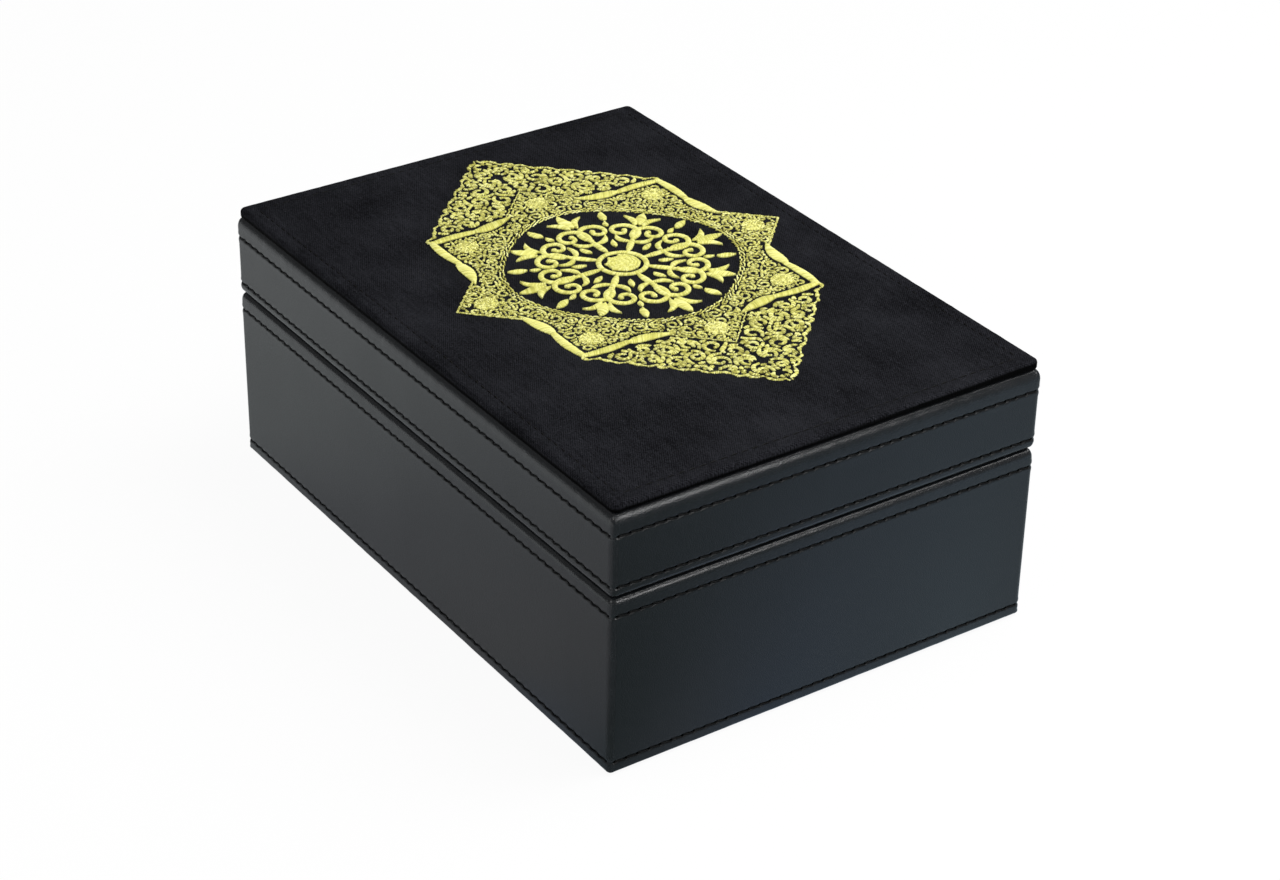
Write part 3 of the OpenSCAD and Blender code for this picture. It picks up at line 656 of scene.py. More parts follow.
# %% [markdown]
# ## A tree that lays stitches
#
# Every seam and every cord of the embroidery is the same act: walk along a line, and at each step lay a
# short arched thread at some angle to it. Geometry Nodes do exactly that. The line is a mesh of edges. Its
# points carry `stitch`, the length of the thread there, `facing`, the direction away from the cloth, and
# `lean`, which scales the angle and can turn its sign. An angle of 90 degrees lays satin stitch across the
# line, and a small angle lays a running stitch along it.

# %% The laid_stitches tree
STITCH_INPUTS = {
    "NodeSocketFloat": ("Pitch", "Angle", "Angle Spread", "Thread", "Height", "Length Spread",
                        "Tone", "Tone Spread"),
    "NodeSocketInt": ("Bends", "Sides", "Seed"),
    "NodeSocketMaterial": ("Material",),
}


def laid_stitches_tree():
    """Build the tree once. Returns it with its inputs' identifiers by name."""
    tree = bpy.data.node_groups.new("laid_stitches", "GeometryNodeTree")
    tree.interface.new_socket("Geometry", in_out="INPUT", socket_type="NodeSocketGeometry")
    tree.interface.new_socket("Geometry", in_out="OUTPUT", socket_type="NodeSocketGeometry")
    for kind, names in STITCH_INPUTS.items():
        for name in names:
            tree.interface.new_socket(name, in_out="INPUT", socket_type=kind)
    wire = Wire(tree)
    group = tree.nodes.new("NodeGroupInput")
    given = {socket.name: Wire(tree, socket) for socket in group.outputs if socket.name}

    line = wire.node("GeometryNodeMeshToCurve", sockets={"Mesh": given["Geometry"]})
    steps = wire.node("GeometryNodeResampleCurve", {"mode": "LENGTH"},
                      {"Curve": line, "Length": given["Pitch"]})

    def chance(low, high, extra):
        return wire.node("FunctionNodeRandomValue", {"data_type": "FLOAT"}, {
            "Min": low, "Max": high, "Seed": given["Seed"] + extra}, out="Value")

    def vector(operation, a, b):
        return wire.node("ShaderNodeVectorMath", {"operation": operation}, {0: a, 1: b})

    def times(a, factor):
        return wire.node("ShaderNodeVectorMath", {"operation": "SCALE"}, {0: a, "Scale": factor})

    def carried(name, kind="FLOAT"):
        return wire.node("GeometryNodeInputNamedAttribute", {"data_type": kind}, {"Name": name})

    tangent = wire.node("GeometryNodeInputTangent")
    facing = carried("facing", "FLOAT_VECTOR")
    angle = given["Angle"] * carried("lean") + chance(-1.0, 1.0, 1) * given["Angle Spread"]
    lie = vector("ADD", times(tangent, angle.math("COSINE", angle)),
                 times(vector("CROSS_PRODUCT", facing, tangent), angle.sine()))
    turn = wire.node("FunctionNodeAxesToRotation", {"primary_axis": "X", "secondary_axis": "Z"},
                     {0: lie, 1: facing})
    long = carried("stitch") * (1 + chance(-1.0, 1.0, 2) * given["Length Spread"])
    size = wire.node("ShaderNodeCombineXYZ", sockets={0: long, 1: given["Thread"], 2: given["Height"]})

    straight = wire.node("GeometryNodeCurvePrimitiveLine", sockets={
        "Start": (-0.5, 0, 0), "End": (0.5, 0, 0)})
    straight = wire.node("GeometryNodeResampleCurve", {"mode": "COUNT"},
                         {"Curve": straight, "Count": given["Bends"] + 1})
    section = wire.node("GeometryNodeCurvePrimitiveCircle", sockets={
        "Resolution": given["Sides"], "Radius": 0.5})
    thread = wire.node("GeometryNodeCurveToMesh", sockets={
        "Curve": straight, "Profile Curve": section, "Fill Caps": True})
    along = wire.node("ShaderNodeSeparateXYZ", sockets={0: wire.node("GeometryNodeInputPosition")}, out="X")
    arch = wire.node("ShaderNodeCombineXYZ", sockets={2: 0.5 - along * along * 2})
    thread = wire.node("GeometryNodeSetPosition", sockets={"Geometry": thread, "Offset": arch})
    laid = wire.node("GeometryNodeInstanceOnPoints", sockets={
        "Points": steps, "Instance": thread, "Rotation": turn, "Scale": size})
    laid = wire.node("GeometryNodeStoreNamedAttribute", {"data_type": "FLOAT", "domain": "INSTANCE"}, {
        "Geometry": laid, "Name": "tone",
        "Value": given["Tone"] + chance(-1.0, 1.0, 3) * given["Tone Spread"]})
    real = wire.node("GeometryNodeRealizeInstances", sockets={"Geometry": laid})
    smooth = wire.node("GeometryNodeSetShadeSmooth", sockets={"Geometry": real})
    dressed = wire.node("GeometryNodeSetMaterial", sockets={
        "Geometry": smooth, "Material": given["Material"]})
    wire.node("NodeGroupOutput", sockets={"Geometry": dressed})
    return tree, {item.name: item.identifier for item in tree.interface.items_tree if item.in_out == "INPUT"}


STITCHES, STITCH_KEYS = laid_stitches_tree()
print("laid_stitches:", len(STITCHES.nodes), "nodes, inputs", list(STITCH_KEYS))

# %% Laying stitches along routes


def route(points, stitch, facing=(0.0, 0.0, 1.0), lean=1.0, closed=False):
    """A line to sew along: its points and stitch lengths, the side that shows, and the angle's lean."""
    points = np.asarray(points, dtype=float)
    return {"points": points, "stitch": np.broadcast_to(stitch, len(points)).astype(float),
            "facing": np.broadcast_to(facing, (len(points), 3)).astype(float),
            "lean": np.full(len(points), lean), "closed": closed}


def lay_stitches(name, routes, material, **inputs):
    """One plain mesh of all the stitches along the routes. Lengths in the inputs are millimetres."""
    points = np.vstack([r["points"] for r in routes])
    edges, start = [], 0
    for r in routes:
        count = len(r["points"])
        edges += [(start + i, start + i + 1) for i in range(count - 1)]
        if r["closed"]:
            edges.append((start + count - 1, start))
        start += count
    mesh = bpy.data.meshes.new(name)
    mesh.from_pydata((points * MM).tolist(), edges, [])
    for label, scale in (("stitch", MM), ("lean", 1.0)):
        layer = mesh.attributes.new(label, "FLOAT", "POINT")
        layer.data.foreach_set("value", np.concatenate([r[label] for r in routes]) * scale)
    facing = mesh.attributes.new("facing", "FLOAT_VECTOR", "POINT")
    facing.data.foreach_set("vector", np.vstack([r["facing"] for r in routes]).ravel())
    made = add_object(name, mesh)
    sew = made.modifiers.new("sew", "NODES")
    sew.node_group = STITCHES
    settings = {"Angle Spread": 0.0, "Length Spread": 0.0, "Tone": 0.5, "Tone Spread": 0.5, "Bends": 2,
                "Sides": 4, "Seed": 3, "Material": material}
    settings.update({key.replace("_", " "): value for key, value in inputs.items()})
    for key, value in settings.items():
        sew[STITCH_KEYS[key]] = value * MM if key in ("Pitch", "Thread", "Height") else value
    settle(made)
    return made


print("lay_stitches ready")

# %% [markdown]
# ## Black top stitching
#
# The seams are sewn in thick black thread, sunk in its furrow. In the photograph each stitch leans a little
# and ends in a dark hole. A straight side holds a whole number of stitches, so the first and the last
# stitch's middles are enough to lay the row, and every stitch ends where the leather's mesh has a hole.

# %% Black thread
black_thread, wire, place = new_finish("black_thread")
strands = noise(stretched(place, 1, 1, 3), 0.22)
dye = blend_colours(attribute(wire, "tone") * 0.5 + strands * 0.5, grey(0.0015), grey(0.006))
close_finish(wire, Base_Color=dye, Roughness=0.42 + strands * 0.25, Specular_IOR_Level=0.10,
             Normal=bump(strands, 0.12))
print("black thread: strands of 0.22 mm")

# %% The leather's seams
SEAM_SINK = 0.28                       # how deep the thread's root lies under the leather's face
SHORT_LEAN, LONG_LEAN = 1.0, -1.9      # along the long sides the stitches lean the other way, and more


def side_rows(outline, level, sink, share, facing=None):
    """Routes along the straight sides, from the first stitch's middle to the last one's.

    They face outwards, if no other direction is given."""
    routes = []
    for start, end, outward, pitch in outline["sides"]:
        half_step = (end - start) / np.linalg.norm(end - start) * pitch / 2
        flat = np.array([start + half_step, end - half_step]) - outward * sink
        lean = SHORT_LEAN if abs(outward[1]) > 0.5 else LONG_LEAN
        points = np.column_stack([flat, (level, level)])
        routes.append(route(points, pitch * share, facing or (*outward, 0.0), lean))
    return routes


def row_pitch(outline):
    """A resampling length that gives each side its own whole number of stitches."""
    return 0.995 * min(side[3] for side in outline["sides"])


for half, outline, seams in (("base", base_outline, BASE_SEAMS), ("lid", lid_outline, LID_SEAMS)):
    low, high = box_mm(f"{half}_leather_wrap")
    levels = [high[2] - s if half == "lid" else low[2] + s for s in seams]
    seam_rows = [r for level in levels for r in side_rows(outline, level, SEAM_SINK, share=0.97)]
    top_stitching = lay_stitches(
        f"{half}_top_stitching", seam_rows, black_thread, Pitch=row_pitch(outline),
        Angle=math.radians(-10), Thread=0.75, Height=0.7, Bends=5, Sides=6,
        Length_Spread=0.04, Angle_Spread=math.radians(3))
    place_piece(top_stitching, half)

# %% [markdown]
# ## The cloth panel
#
# A card covered with fine black cloth lies on the lid. The cloth is drawn round the card's edge and glued
# under it, so it is one sheet, tight but not dead flat. The embroidery gathers it a little. The mesh is the
# sheet itself, with its thickness: it starts at the middle of the top, runs out over the rounded edge, turns
# under to the hem, and comes back along the inside. Where it turns under, its colour is painted black as the
# shade in the gap above the leather, and an attribute of the mesh says where.

# %% Cloth finish
WEAVE, WEAVE_SLANT = 1.1, 0.25         # millimetres from one raised float to the next, and the cloth's skew

panel_cloth, wire, place = new_finish("panel_cloth")
x, y = (wire.node("ShaderNodeSeparateXYZ", sockets={"Vector": place}, out=axis) for axis in "XY")
turns = 2 * math.pi / (WEAVE * MM)
sway = (noise(place, 5.0) - 0.5) * 2.2
warp = ((x + y * WEAVE_SLANT) * turns + sway).sine()
weft = ((y - x * WEAVE_SLANT) * turns + sway).sine()
loose = noise(place, 2.2, detail=3.0).between(0.3, 0.7)
weave = warp * weft * loose * 0.5 + 0.5
fuzz = noise(place, 0.75, detail=4.0, roughness=0.75)
slub = noise(stretched(place, 1, 0.12, 1), 1.6, detail=3.0)
cloud = noise(place, 30.0)
speck = cells(place, 0.9).between(0.34, 0.12) * noise(place, 3.0).between(0.45, 0.75)
shade = weave * 0.35 + fuzz * 0.5 + slub * 0.15 + (cloud - 0.5) * 0.2
dye = blend_colours(shade.between(0.38, 0.64), (0.0012, 0.0013, 0.0020, 1), (0.0190, 0.0196, 0.0240, 1))
dye = blend_colours(speck * 0.6, dye, (0.045, 0.045, 0.052, 1))
# painted shade: the cloth is black where it turns under above the leather
close_finish(
    wire, Base_Color=blend_colours(attribute(wire, "tucked"), dye, grey(0.0003)),
    Roughness=0.8 + fuzz * 0.15, Specular_IOR_Level=0.05, Normal=bump(weave * 0.5 + fuzz * 0.6, 0.3))
print("cloth: weave", WEAVE, "mm")

# %% The panel's sizes and the cloth's waves
CLOTH, CLOTH_HEM = 0.6, 14.0           # thickness, and how far it is turned under
CLOTH_EDGE, CLOTH_CORNER = 1.7, 2.8    # radius of the top edge, and of the upright one
# painted shade in the gap under the cloth: its height, and what the right end of the near side adds
GAP_SHADE, GAP_SHADE_MORE = 1.6, 1.4               # height of the black gap, and what the right end of the near side adds
PANEL_ROW, ROW_DEEP = 6.0, 0.3         # the row of stitches: from the panel's edge, and how deep it is drawn
EDGE_STEPS = np.radians(np.linspace(0, 90, 7))
EDGE_WAVES, EDGE_ROUGH = (5.3, 6.7, 9.1, 14, 31), 0.14
FOLD, FOLD_REACH, SLACK = 0.10, 14, 0.06               # height and reach of the folds, and the slow waves

cloth_low, cloth_high = box_mm("lid_panel_cloth")
cloth_half = (cloth_high[:2] - cloth_low[:2]) / 2
cloth_tall = cloth_high[2] - cloth_low[2]
ring_low, ring_high = box_mm("medallion_rings")
lace_low, lace_high = box_mm("medallion_lace")
MEDALLION = (ring_low + ring_high)[:2] / 2
SQUARE = (lace_high[1] - lace_low[1]) / 4 - 1.6        # the scallops stand outside it
SIDE_POINT = (lace_high[0] - lace_low[0]) / 2


def cloth_wave(x, y):
    """The unevenness of the drawn cloth: soft folds that start at the medallion's edge."""
    u, v = np.abs(x - MEDALLION[0]), np.abs(y - MEDALLION[1])
    outside = np.maximum(u - SQUARE, u + v - 2 * SQUARE)
    near = np.exp(-(np.clip(outside, 0, None) / FOLD_REACH) ** 2)
    folds = np.sin(x * 0.23 + 1.3 * np.sin(y * 0.11)) * np.sin(y * 0.19 + np.sin(x * 0.13))
    slow = np.sin(x * 0.061 + 0.7) * np.sin(y * 0.047 + 0.4)
    return FOLD * folds * near * (outside > 0) + SLACK * slow - FOLD


print("panel, mm:", (2 * cloth_half).round(1), "by", cloth_tall.round(1))

# %% Cloth profile
cloth_outline = rounded_outline(cloth_half, CLOTH_CORNER, step=2.4, arc_steps=10)
spread = np.concatenate([np.linspace(cloth_half[0], 12, 26),
                         [10, 8.4, 7.2, 6.4, 6.0, 5.6, 4.8, 3.8, 3.0, 2.3]])
bend, rise = 1 - np.sin(EDGE_STEPS), 1 - np.cos(EDGE_STEPS)
outer = [(inset, cloth_tall) for inset in spread]
outer += list(zip(CLOTH_EDGE * bend, cloth_tall - CLOTH_EDGE * rise))
outer += [(0.0, 1.1), (0.0, 0.5), (0.15, 0.15), (0.5, 0.0), (CLOTH_HEM / 2, 0.0), (CLOTH_HEM, 0.0)]
inner_edge = CLOTH_EDGE - CLOTH
inside = [(CLOTH_HEM, CLOTH), (CLOTH, CLOTH), (CLOTH, cloth_tall - CLOTH_EDGE)]
inside += list(zip(CLOTH + inner_edge * bend[::-2], cloth_tall - CLOTH - inner_edge * rise[::-2]))[1:]
inside += [(inset, cloth_tall - CLOTH) for inset in spread[::-3]]
inside += [(cloth_half[0], cloth_tall - CLOTH)]
inset, level = np.array(outer + inside).T
is_outer = np.arange(len(inset)) < len(outer)
print("cloth profile:", len(inset), "rows, from the middle of the top to the hem and back")

# %% Cloth mesh
rough = waves(cloth_outline["run"], cloth_outline["length"], EDGE_WAVES, np.random.default_rng(5))
at_edge = np.exp(-(inset / 2.0) ** 2) * is_outer
uneven = np.outer(at_edge, EDGE_ROUGH + EDGE_ROUGH * rough)
points = sweep(cloth_outline, inset[:, None] + uneven, cloth_low[2] + level)
on_top = np.clip((level - cloth_tall + CLOTH + 0.3) / 0.3, 0, 1) * np.clip(inset / PANEL_ROW, 0, 1)
drawn_down = np.exp(-((inset - PANEL_ROW) / 0.5) ** 2) * ROW_DEEP * is_outer
points[..., 2] += on_top[:, None] * cloth_wave(points[..., 0], points[..., 1]) - drawn_down[:, None]
# painted shade: the cloth's lowest rows are black, and taller towards the right end of the near side
wider_gap_shade = np.clip((points[..., 0] + 60) / 150, 0, 1) * (points[..., 1] < 4 - cloth_half[1])
tucked = np.clip((GAP_SHADE + GAP_SHADE_MORE * wider_gap_shade - level[:, None]) / 0.5, 0, 1)
faces = grid_faces(len(inset), points.shape[1], close_rows=False)[:, ::-1]
lid_cloth = mesh_piece("lid_cloth", points, faces, panel_cloth, {"tucked": tucked})
place_piece(lid_cloth, "lid", ["lid_panel_cloth"])

# %% The cloth's own top stitching
ROW_SINK = 0.5                         # how deep the row lies under the panel's top

row_outline = rounded_outline(cloth_half - PANEL_ROW, CLOTH_CORNER / 2, STITCH * 0.9)
panel_rows = side_rows(row_outline, cloth_high[2] - ROW_SINK, sink=0.0, share=0.7, facing=(0.0, 0.0, 1.0))
panel_seam = lay_stitches("panel_top_stitching", panel_rows, black_thread, Pitch=row_pitch(row_outline),
                          Angle=math.radians(5), Thread=0.6, Height=0.5, Bends=4, Sides=5,
                          Length_Spread=0.06, Angle_Spread=math.radians(4))
place_piece(panel_seam, "lid")

# %% [markdown]
# ## Gold thread
#
# The medallion is machine embroidery in a lustrous yellow thread. Each stitch catches the light a little
# differently, which the tree's `tone` attribute carries: one number for each stitch, mapped from deep ochre
# to pale gold. Fine streaks stand for the thread's filaments.

# %% Gold thread finish
gold_thread, wire, place = new_finish("gold_thread")
filament = noise(place, 0.18, detail=2.0)
patch = noise(place, 9.0)
gold = ramp(attribute(wire, "tone") * 0.65 + filament * 0.2 + patch * 0.15, [
    (0.18, (0.35, 0.325, 0.055, 1)), (0.5, (0.76, 0.735, 0.175, 1)), (0.85, (0.98, 0.97, 0.43, 1))])
close_finish(wire, Base_Color=gold, Roughness=0.40 + filament * 0.2, Specular_IOR_Level=0.55,
             Normal=bump(filament, 0.08))
print("gold thread: ochre to pale gold, one tone a stitch")

# %% [markdown]
# ## Shapes of the medallion
#
# The medallion's frame has four-fold symmetry, and its centre eight-fold. Its parts are all lines with a
# width: a strap, a scroll, a leaf or a petal is a route down its middle, and the satin stitches across it are
# as long as it is wide there. Routes are drawn once, in millimetres from the medallion's centre, and then
# turned or mirrored. The dark field isn't quite round: its edge is drawn in on the diagonals.

# %% Routes of straps, leaves, rosettes and scrolls
DISC = 47.7                            # radius of the dark field
FIELD_DIP = 3.0                        # the dark field is drawn in this far on its diagonals
STRAP, LOBE, TIP = 3.0, 21.0, 18.0     # a corner strap's width, and the lengths of its lens and its tip
STRAP_INSIDE = SQUARE - 0.6 * STRAP
ROSETTE, ROSETTE_RING = 5.2, 62.0      # radius of a rosette, and of the ring that they stand on
SCROLL, BUD = 2.5, 1.25                # widths of a scroll of the centre, and of the bud in its eye
# start, end, width and bow of the leaves beside a scroll, in shares of the disc's radius
SPRAY_LEAVES = (((0.715, 0.035), (0.885, 0.165), 0.062, -0.18), ((0.40, 0.012), (0.50, 0.16), 0.052, 0.2))


def polar(radius, degrees):
    angle = np.radians(degrees)
    return np.stack([radius * np.cos(angle), radius * np.sin(angle)], axis=-1)


def field_edge(degrees):
    """Radius of the dark field: the disc's, but less towards the diagonals."""
    return DISC - FIELD_DIP * np.sin(np.radians(2 * degrees)) ** 2


def drawn_in(path):
    """A path of the centre, drawn in as the field's edge is, most at the rim."""
    points, widths = path
    share = np.hypot(*points.T) / DISC
    angle = np.degrees(np.arctan2(points[:, 1], points[:, 0]))
    return points * (1 - (1 - field_edge(angle) / DISC) * share ** 2)[:, None], widths


def turned(path, degrees):
    """A (points, widths) path turned about the medallion's centre."""
    c, s = math.cos(math.radians(degrees)), math.sin(math.radians(degrees))
    points, widths = path
    return points @ np.array([[c, s], [-s, c]]), widths


def flipped(path):
    """A path mirrored about the line y = x."""
    return path[0][:, ::-1], path[1]


def mirrored(path, sx, sy):
    return path[0] * np.array([sx, sy]), path[1]


def leaf(start, end, width, bow=0.0, count=14):
    """A pointed leaf from start to end, widest just before its middle, bowed sideways."""
    start, end = np.asarray(start, float), np.asarray(end, float)
    t = np.linspace(0.02, 0.98, count)
    along = end - start
    side = np.array([-along[1], along[0]])
    points = start + t[:, None] * along + (bow * np.sin(math.pi * t))[:, None] * side
    return points, width * np.sin(math.pi * t ** 0.85) ** 0.8


def strap_arm():
    """One arm of a corner strap: a lens, then a tip that widens and swings outwards."""
    t = np.linspace(0.0, 1.98, 60)
    s = np.clip(t - 1, 0, None)
    width = np.where(t < 1, STRAP * (0.8 + 0.5 * np.sin(math.pi * t)),
                     STRAP * 0.8 * (2 - t) + STRAP * 1.3 * np.sin(math.pi * s ** 0.75))
    x = STRAP_INSIDE + np.where(t < 1, width / 2, STRAP * (0.5 + 1.25 * s ** 2))
    y = SQUARE - np.where(t < 1, t * LOBE, LOBE + s * TIP)
    return np.column_stack([x, y]), width


def rosette(centre, radius, turn):
    """Eight petals round an eye, on a ground of close rounds."""
    centre = np.asarray(centre, float)
    petals = []
    for k in range(8):
        inner, outer = polar(np.array([0.34, 0.98]) * radius, turn + 45 * k)
        petals.append(leaf(centre + inner, centre + outer, 0.42 * radius, count=8))
    around = polar(0.2 * radius, np.linspace(0, 360, 14))
    winds = np.linspace(0, 1, 90)
    ground = centre + polar(radius * (0.1 + 0.82 * winds), 360 * 4.2 * winds)
    return [(ground, np.full(90, 0.19 * radius))] + petals + [(centre + around, np.full(14, 0.42 * radius))]


def scroll_arm():
    """A scroll of the centre, which winds into an eye."""
    eye, root = np.array([0.585, 0.128]) * DISC, np.array([0.455, 0.018]) * DISC
    away, eye_radius = root - eye, 0.03 * DISC
    t = np.linspace(0, 1, 70)
    radius = eye_radius + (np.hypot(*away) - eye_radius) * (1 - t) ** 1.35
    points = eye + polar(radius, math.degrees(math.atan2(away[1], away[0])) + 440 * t)
    return points, SCROLL * (1 - 0.35 * t) * np.clip(t / 0.05 + 0.3, 0, 1)


def spray():
    """Half of an eighth of the centre: a scroll that ends in a bud, and two bowed leaves."""
    arm = scroll_arm()
    bud = arm[0][-1] + polar(BUD / 2, np.linspace(0, 360, 12))
    leaves = [leaf(np.array(start) * DISC, np.array(end) * DISC, width * DISC, bow)
              for start, end, width, bow in SPRAY_LEAVES]
    return [arm, (bud, np.full(len(bud), BUD))] + leaves


def axis_leaf(start, end, width):
    """A straight leaf on the X axis, in shares of the disc's radius."""
    return leaf((start * DISC, 0), (end * DISC, 0), width * DISC)


print("medallion: square half", round(SQUARE, 2), "mm, side point", round(SIDE_POINT, 2), "mm")

# %% [markdown]
# ## The lace of scrolls
#
# Round the field lies a dense lace of small scrolls. Drawing hundreds of them by hand would take days, and
# scattering them at random would leave holes. A pattern drawer fills such a place with swirls and then with
# strokes that wind into them, always the same distance apart. The code does the same in two steps: it packs
# circles for the swirls, then walks lines round them and stops each line where it comes too near to another.
# The star gets fine strokes, the crests bold ones. A quarter is filled and mirrored.

# %% Room for the strokes
GRID = 0.25                            # from one place to the next
RING_ROOM = 2.2                        # from the field's edge to the lace: the two stitched rings lie here
LOBES, LOBE_OUT, LOBE_IN = 9, 1.9, 0.4 # scallops up one edge of a crest, and how far they go out and in
CREST_EDGE, CREST_FOOT = 0.9, 0.3      # how far its strokes keep from that edge, and from the star
STAR_EDGE, STAR_ROUGH = 0.45, 0.45     # how far the lace keeps from the star's edge, and its raggedness
STAR_GAP, CREST_GAP = 0.7, 1.2         # between the lace and the corner straps
SWIRL_OVERLAP, ROSETTE_OVERLAP = 0.4, 0.4
SNUG = 0.5                             # room round a swirl that counts as a close fit

grid_u, grid_v = np.meshgrid(np.arange(GRID / 2, SIDE_POINT, GRID),
                             np.arange(GRID / 2, 2 * SQUARE + 2, GRID))


def from_grid(x, y):
    """Distance of every grid point from a place."""
    return np.hypot(grid_u - x, grid_v - y)


def clear_of_straps(room, gap):
    """The room that is left beside the corner straps, within the quarter."""
    middle, width = strap_arm()
    for points in (middle, middle[:, ::-1]):
        for (x, y), w in zip(points[::2], width[::2]):
            room = np.minimum(room, from_grid(x, y) - w / 2 - gap)
    return np.minimum(room, np.minimum(grid_u, grid_v))


def star_room():
    """How far grid points lie inside the star: a square and a diamond, less what is sewn on it."""
    diamond = (SIDE_POINT - grid_u - grid_v) / math.sqrt(2)
    room = np.maximum(np.minimum(SQUARE - grid_u, SQUARE - grid_v), diamond) - STAR_EDGE
    room = room + STAR_ROUGH * np.sin(1.7 * grid_u + 1.1) * np.sin(1.9 * grid_v + 0.4)
    angle = np.degrees(np.arctan2(grid_v, grid_u))
    room = np.minimum(room, from_grid(0, 0) - field_edge(angle) - RING_ROOM)
    for degrees in (0, 45, 90):
        room = np.minimum(room, from_grid(*polar(ROSETTE_RING, degrees)) - ROSETTE + ROSETTE_OVERLAP)
    return clear_of_straps(room, STAR_GAP)


def lobe_reach(t):
    """How far a crest's edge stands out at a share t of its length: uneven lobes."""
    phase = LOBES * t + 0.22 * np.sin(14.5 * t + 0.6) + 0.12 * np.sin(32.0 * t)
    ragged = 0.28 * np.sin(151 * t) * np.sin(67 * t + 2)
    return -LOBE_IN + LOBE_OUT * np.abs(np.sin(math.pi * phase)) ** 0.7 + ragged


def crest_room():
    """How far grid points lie inside the crest above the star."""
    share = np.clip((grid_v - grid_u) / (2 * SQUARE), 0, 1)
    edge = (2 * SQUARE - grid_u - grid_v) / math.sqrt(2) + lobe_reach(share) - CREST_EDGE
    above = (grid_u + grid_v - SIDE_POINT) / math.sqrt(2) - CREST_FOOT
    above = np.minimum(grid_v - SQUARE - CREST_GAP, above)
    return clear_of_straps(np.minimum(edge, above), CREST_GAP)


def nearest_cell(fits, last):
    """The grid point nearest to the last one among those that fit."""
    return np.unravel_index(np.argmin(np.where(fits, from_grid(*last), np.inf)), fits.shape)


def pack_swirls(room, radii):
    """Circles that fill the room, large ones first, each laid next to the one before."""
    centres, sizes = [], []
    last = np.array([0.0, 2 * SQUARE])
    for radius in radii:
        while (room >= radius).any():
            snug = (room >= radius) & (room < radius + SNUG)
            cell = nearest_cell(snug if snug.any() else room >= radius, last)
            last = np.array([grid_u[cell], grid_v[cell]])
            centres.append(last)
            sizes.append(radius)
            room = np.minimum(room, from_grid(*last) - radius + SWIRL_OVERLAP)
    return np.array(centres), np.array(sizes)


print("grid of", grid_u.shape, "places in a quarter of the medallion")

# %% Strokes that wind into the swirls
STEP, MOMENTUM = 0.3, 0.8              # of a walk, and how much of its last direction it keeps
SHARPEST = -0.2                        # cosine of the sharpest turn in one step
TAIL = 6                               # steps behind a walk's end that it can't run into
SWIRL_OUT = 0.6                        # how far a swirl may reach past the border
# shares of the spacing: where a walk stops before another line, a border or its own start,
STOP_SHORT, BORDER, OWN_GAP = 0.62, 0.3, 0.8
# and the free distance and the room that a new line needs, the distance beside a line, and a stamp's reach
NEW_FREE, NEW_ROOM, BESIDE, STAMP = 0.98, 0.32, 1.35, 1.6
FINE = {"swirls": (3.4, 2.8, 2.2, 1.8), "spacing": 1.55,
        "longest": 11.0, "shortest": 1.2, "inward": 0.35}
BOLD = {"swirls": (4.6, 3.8, 3.1, 2.5, 2.0), "spacing": 2.15,
        "longest": 16.0, "shortest": 1.6, "inward": 0.3}
FINE_WIDE, FINE_LENS = 1.10, 0.4       # a stroke's width, and the share of it that comes and goes
BOLD_WIDE, BOLD_LENS = 1.85, 0.45


def walk(start, sign, most, swirls, room, free, spacing, inward):
    """Follow the swirls until the line is long enough, or meets a border, a stroke or itself."""
    centres, sizes = swirls
    path, place, before = [], start, None
    while len(path) * STEP < most:
        nearest = np.argmin(np.hypot(*(centres - place).T) / sizes)
        away = place - centres[nearest]
        hand = 1 if nearest % 2 == 0 else -1
        angle = math.atan2(away[1], away[0]) + hand * (math.pi / 2 + inward)
        ahead = sign * np.array([math.cos(angle), math.sin(angle)])
        if before is not None:
            if ahead @ before < SHARPEST:
                break
            ahead = ahead + before * MOMENTUM
            ahead /= np.linalg.norm(ahead)
        place, before = place + ahead * STEP, ahead
        cell = int(place[1] / GRID), int(place[0] / GRID)
        if min(cell) < 0 or cell[0] >= room.shape[0] or cell[1] >= room.shape[1]:
            break
        if free[cell] < spacing * STOP_SHORT or room[cell] < spacing * BORDER:
            break
        behind = np.array(path[:-TAIL])
        if len(path) > TAIL + 2 and np.hypot(*(behind - place).T).min() < spacing * OWN_GAP:
            break
        path.append(place)
    return path


def swirl_strokes(room, swirls, spacing, longest, shortest, inward):
    """Lines through a room, evenly spaced, as arrays of points."""
    swirls = pack_swirls(room + SWIRL_OUT, swirls)
    free = room + spacing * STOP_SHORT     # distance to the nearest stroke, which may lie close to a border
    strokes, last = [], np.array([0.0, 2 * SQUARE])
    while True:
        fits = (free >= spacing * NEW_FREE) & (room >= spacing * NEW_ROOM)
        if not fits.any():
            return strokes
        beside = fits & (free < spacing * BESIDE)
        cell = nearest_cell(beside if beside.any() else fits, last)
        start = np.array([grid_u[cell], grid_v[cell]])
        ahead = walk(start, 1, longest, swirls, room, free, spacing, inward)
        behind = walk(start, -1, longest - STEP * len(ahead), swirls, room, free, spacing, inward)
        path = np.array(behind[::-1] + [start] + ahead)
        free[cell] = 0
        if len(path) * STEP < shortest:
            continue
        strokes.append(path)
        last = start
        for x, y in path[::2]:
            stamp(free, x, y, spacing * STAMP)


def stamp(free, x, y, reach):
    """Lower the free distance round one point of a stroke."""
    rows = slice(max(int((y - reach) / GRID), 0), int((y + reach) / GRID) + 1)
    columns = slice(max(int((x - reach) / GRID), 0), int((x + reach) / GRID) + 1)
    near = np.hypot(grid_u[rows, columns] - x, grid_v[rows, columns] - y)
    free[rows, columns] = np.minimum(free[rows, columns], near)


def swelling(strokes, width, lens):
    """Paths from strokes: each is widest in its middle, like a leaf."""
    paths = []
    for points in strokes:
        t = np.linspace(0.06, 0.94, len(points))
        paths.append((points, width * (1 - lens + lens * np.sin(math.pi * t))))
    return paths


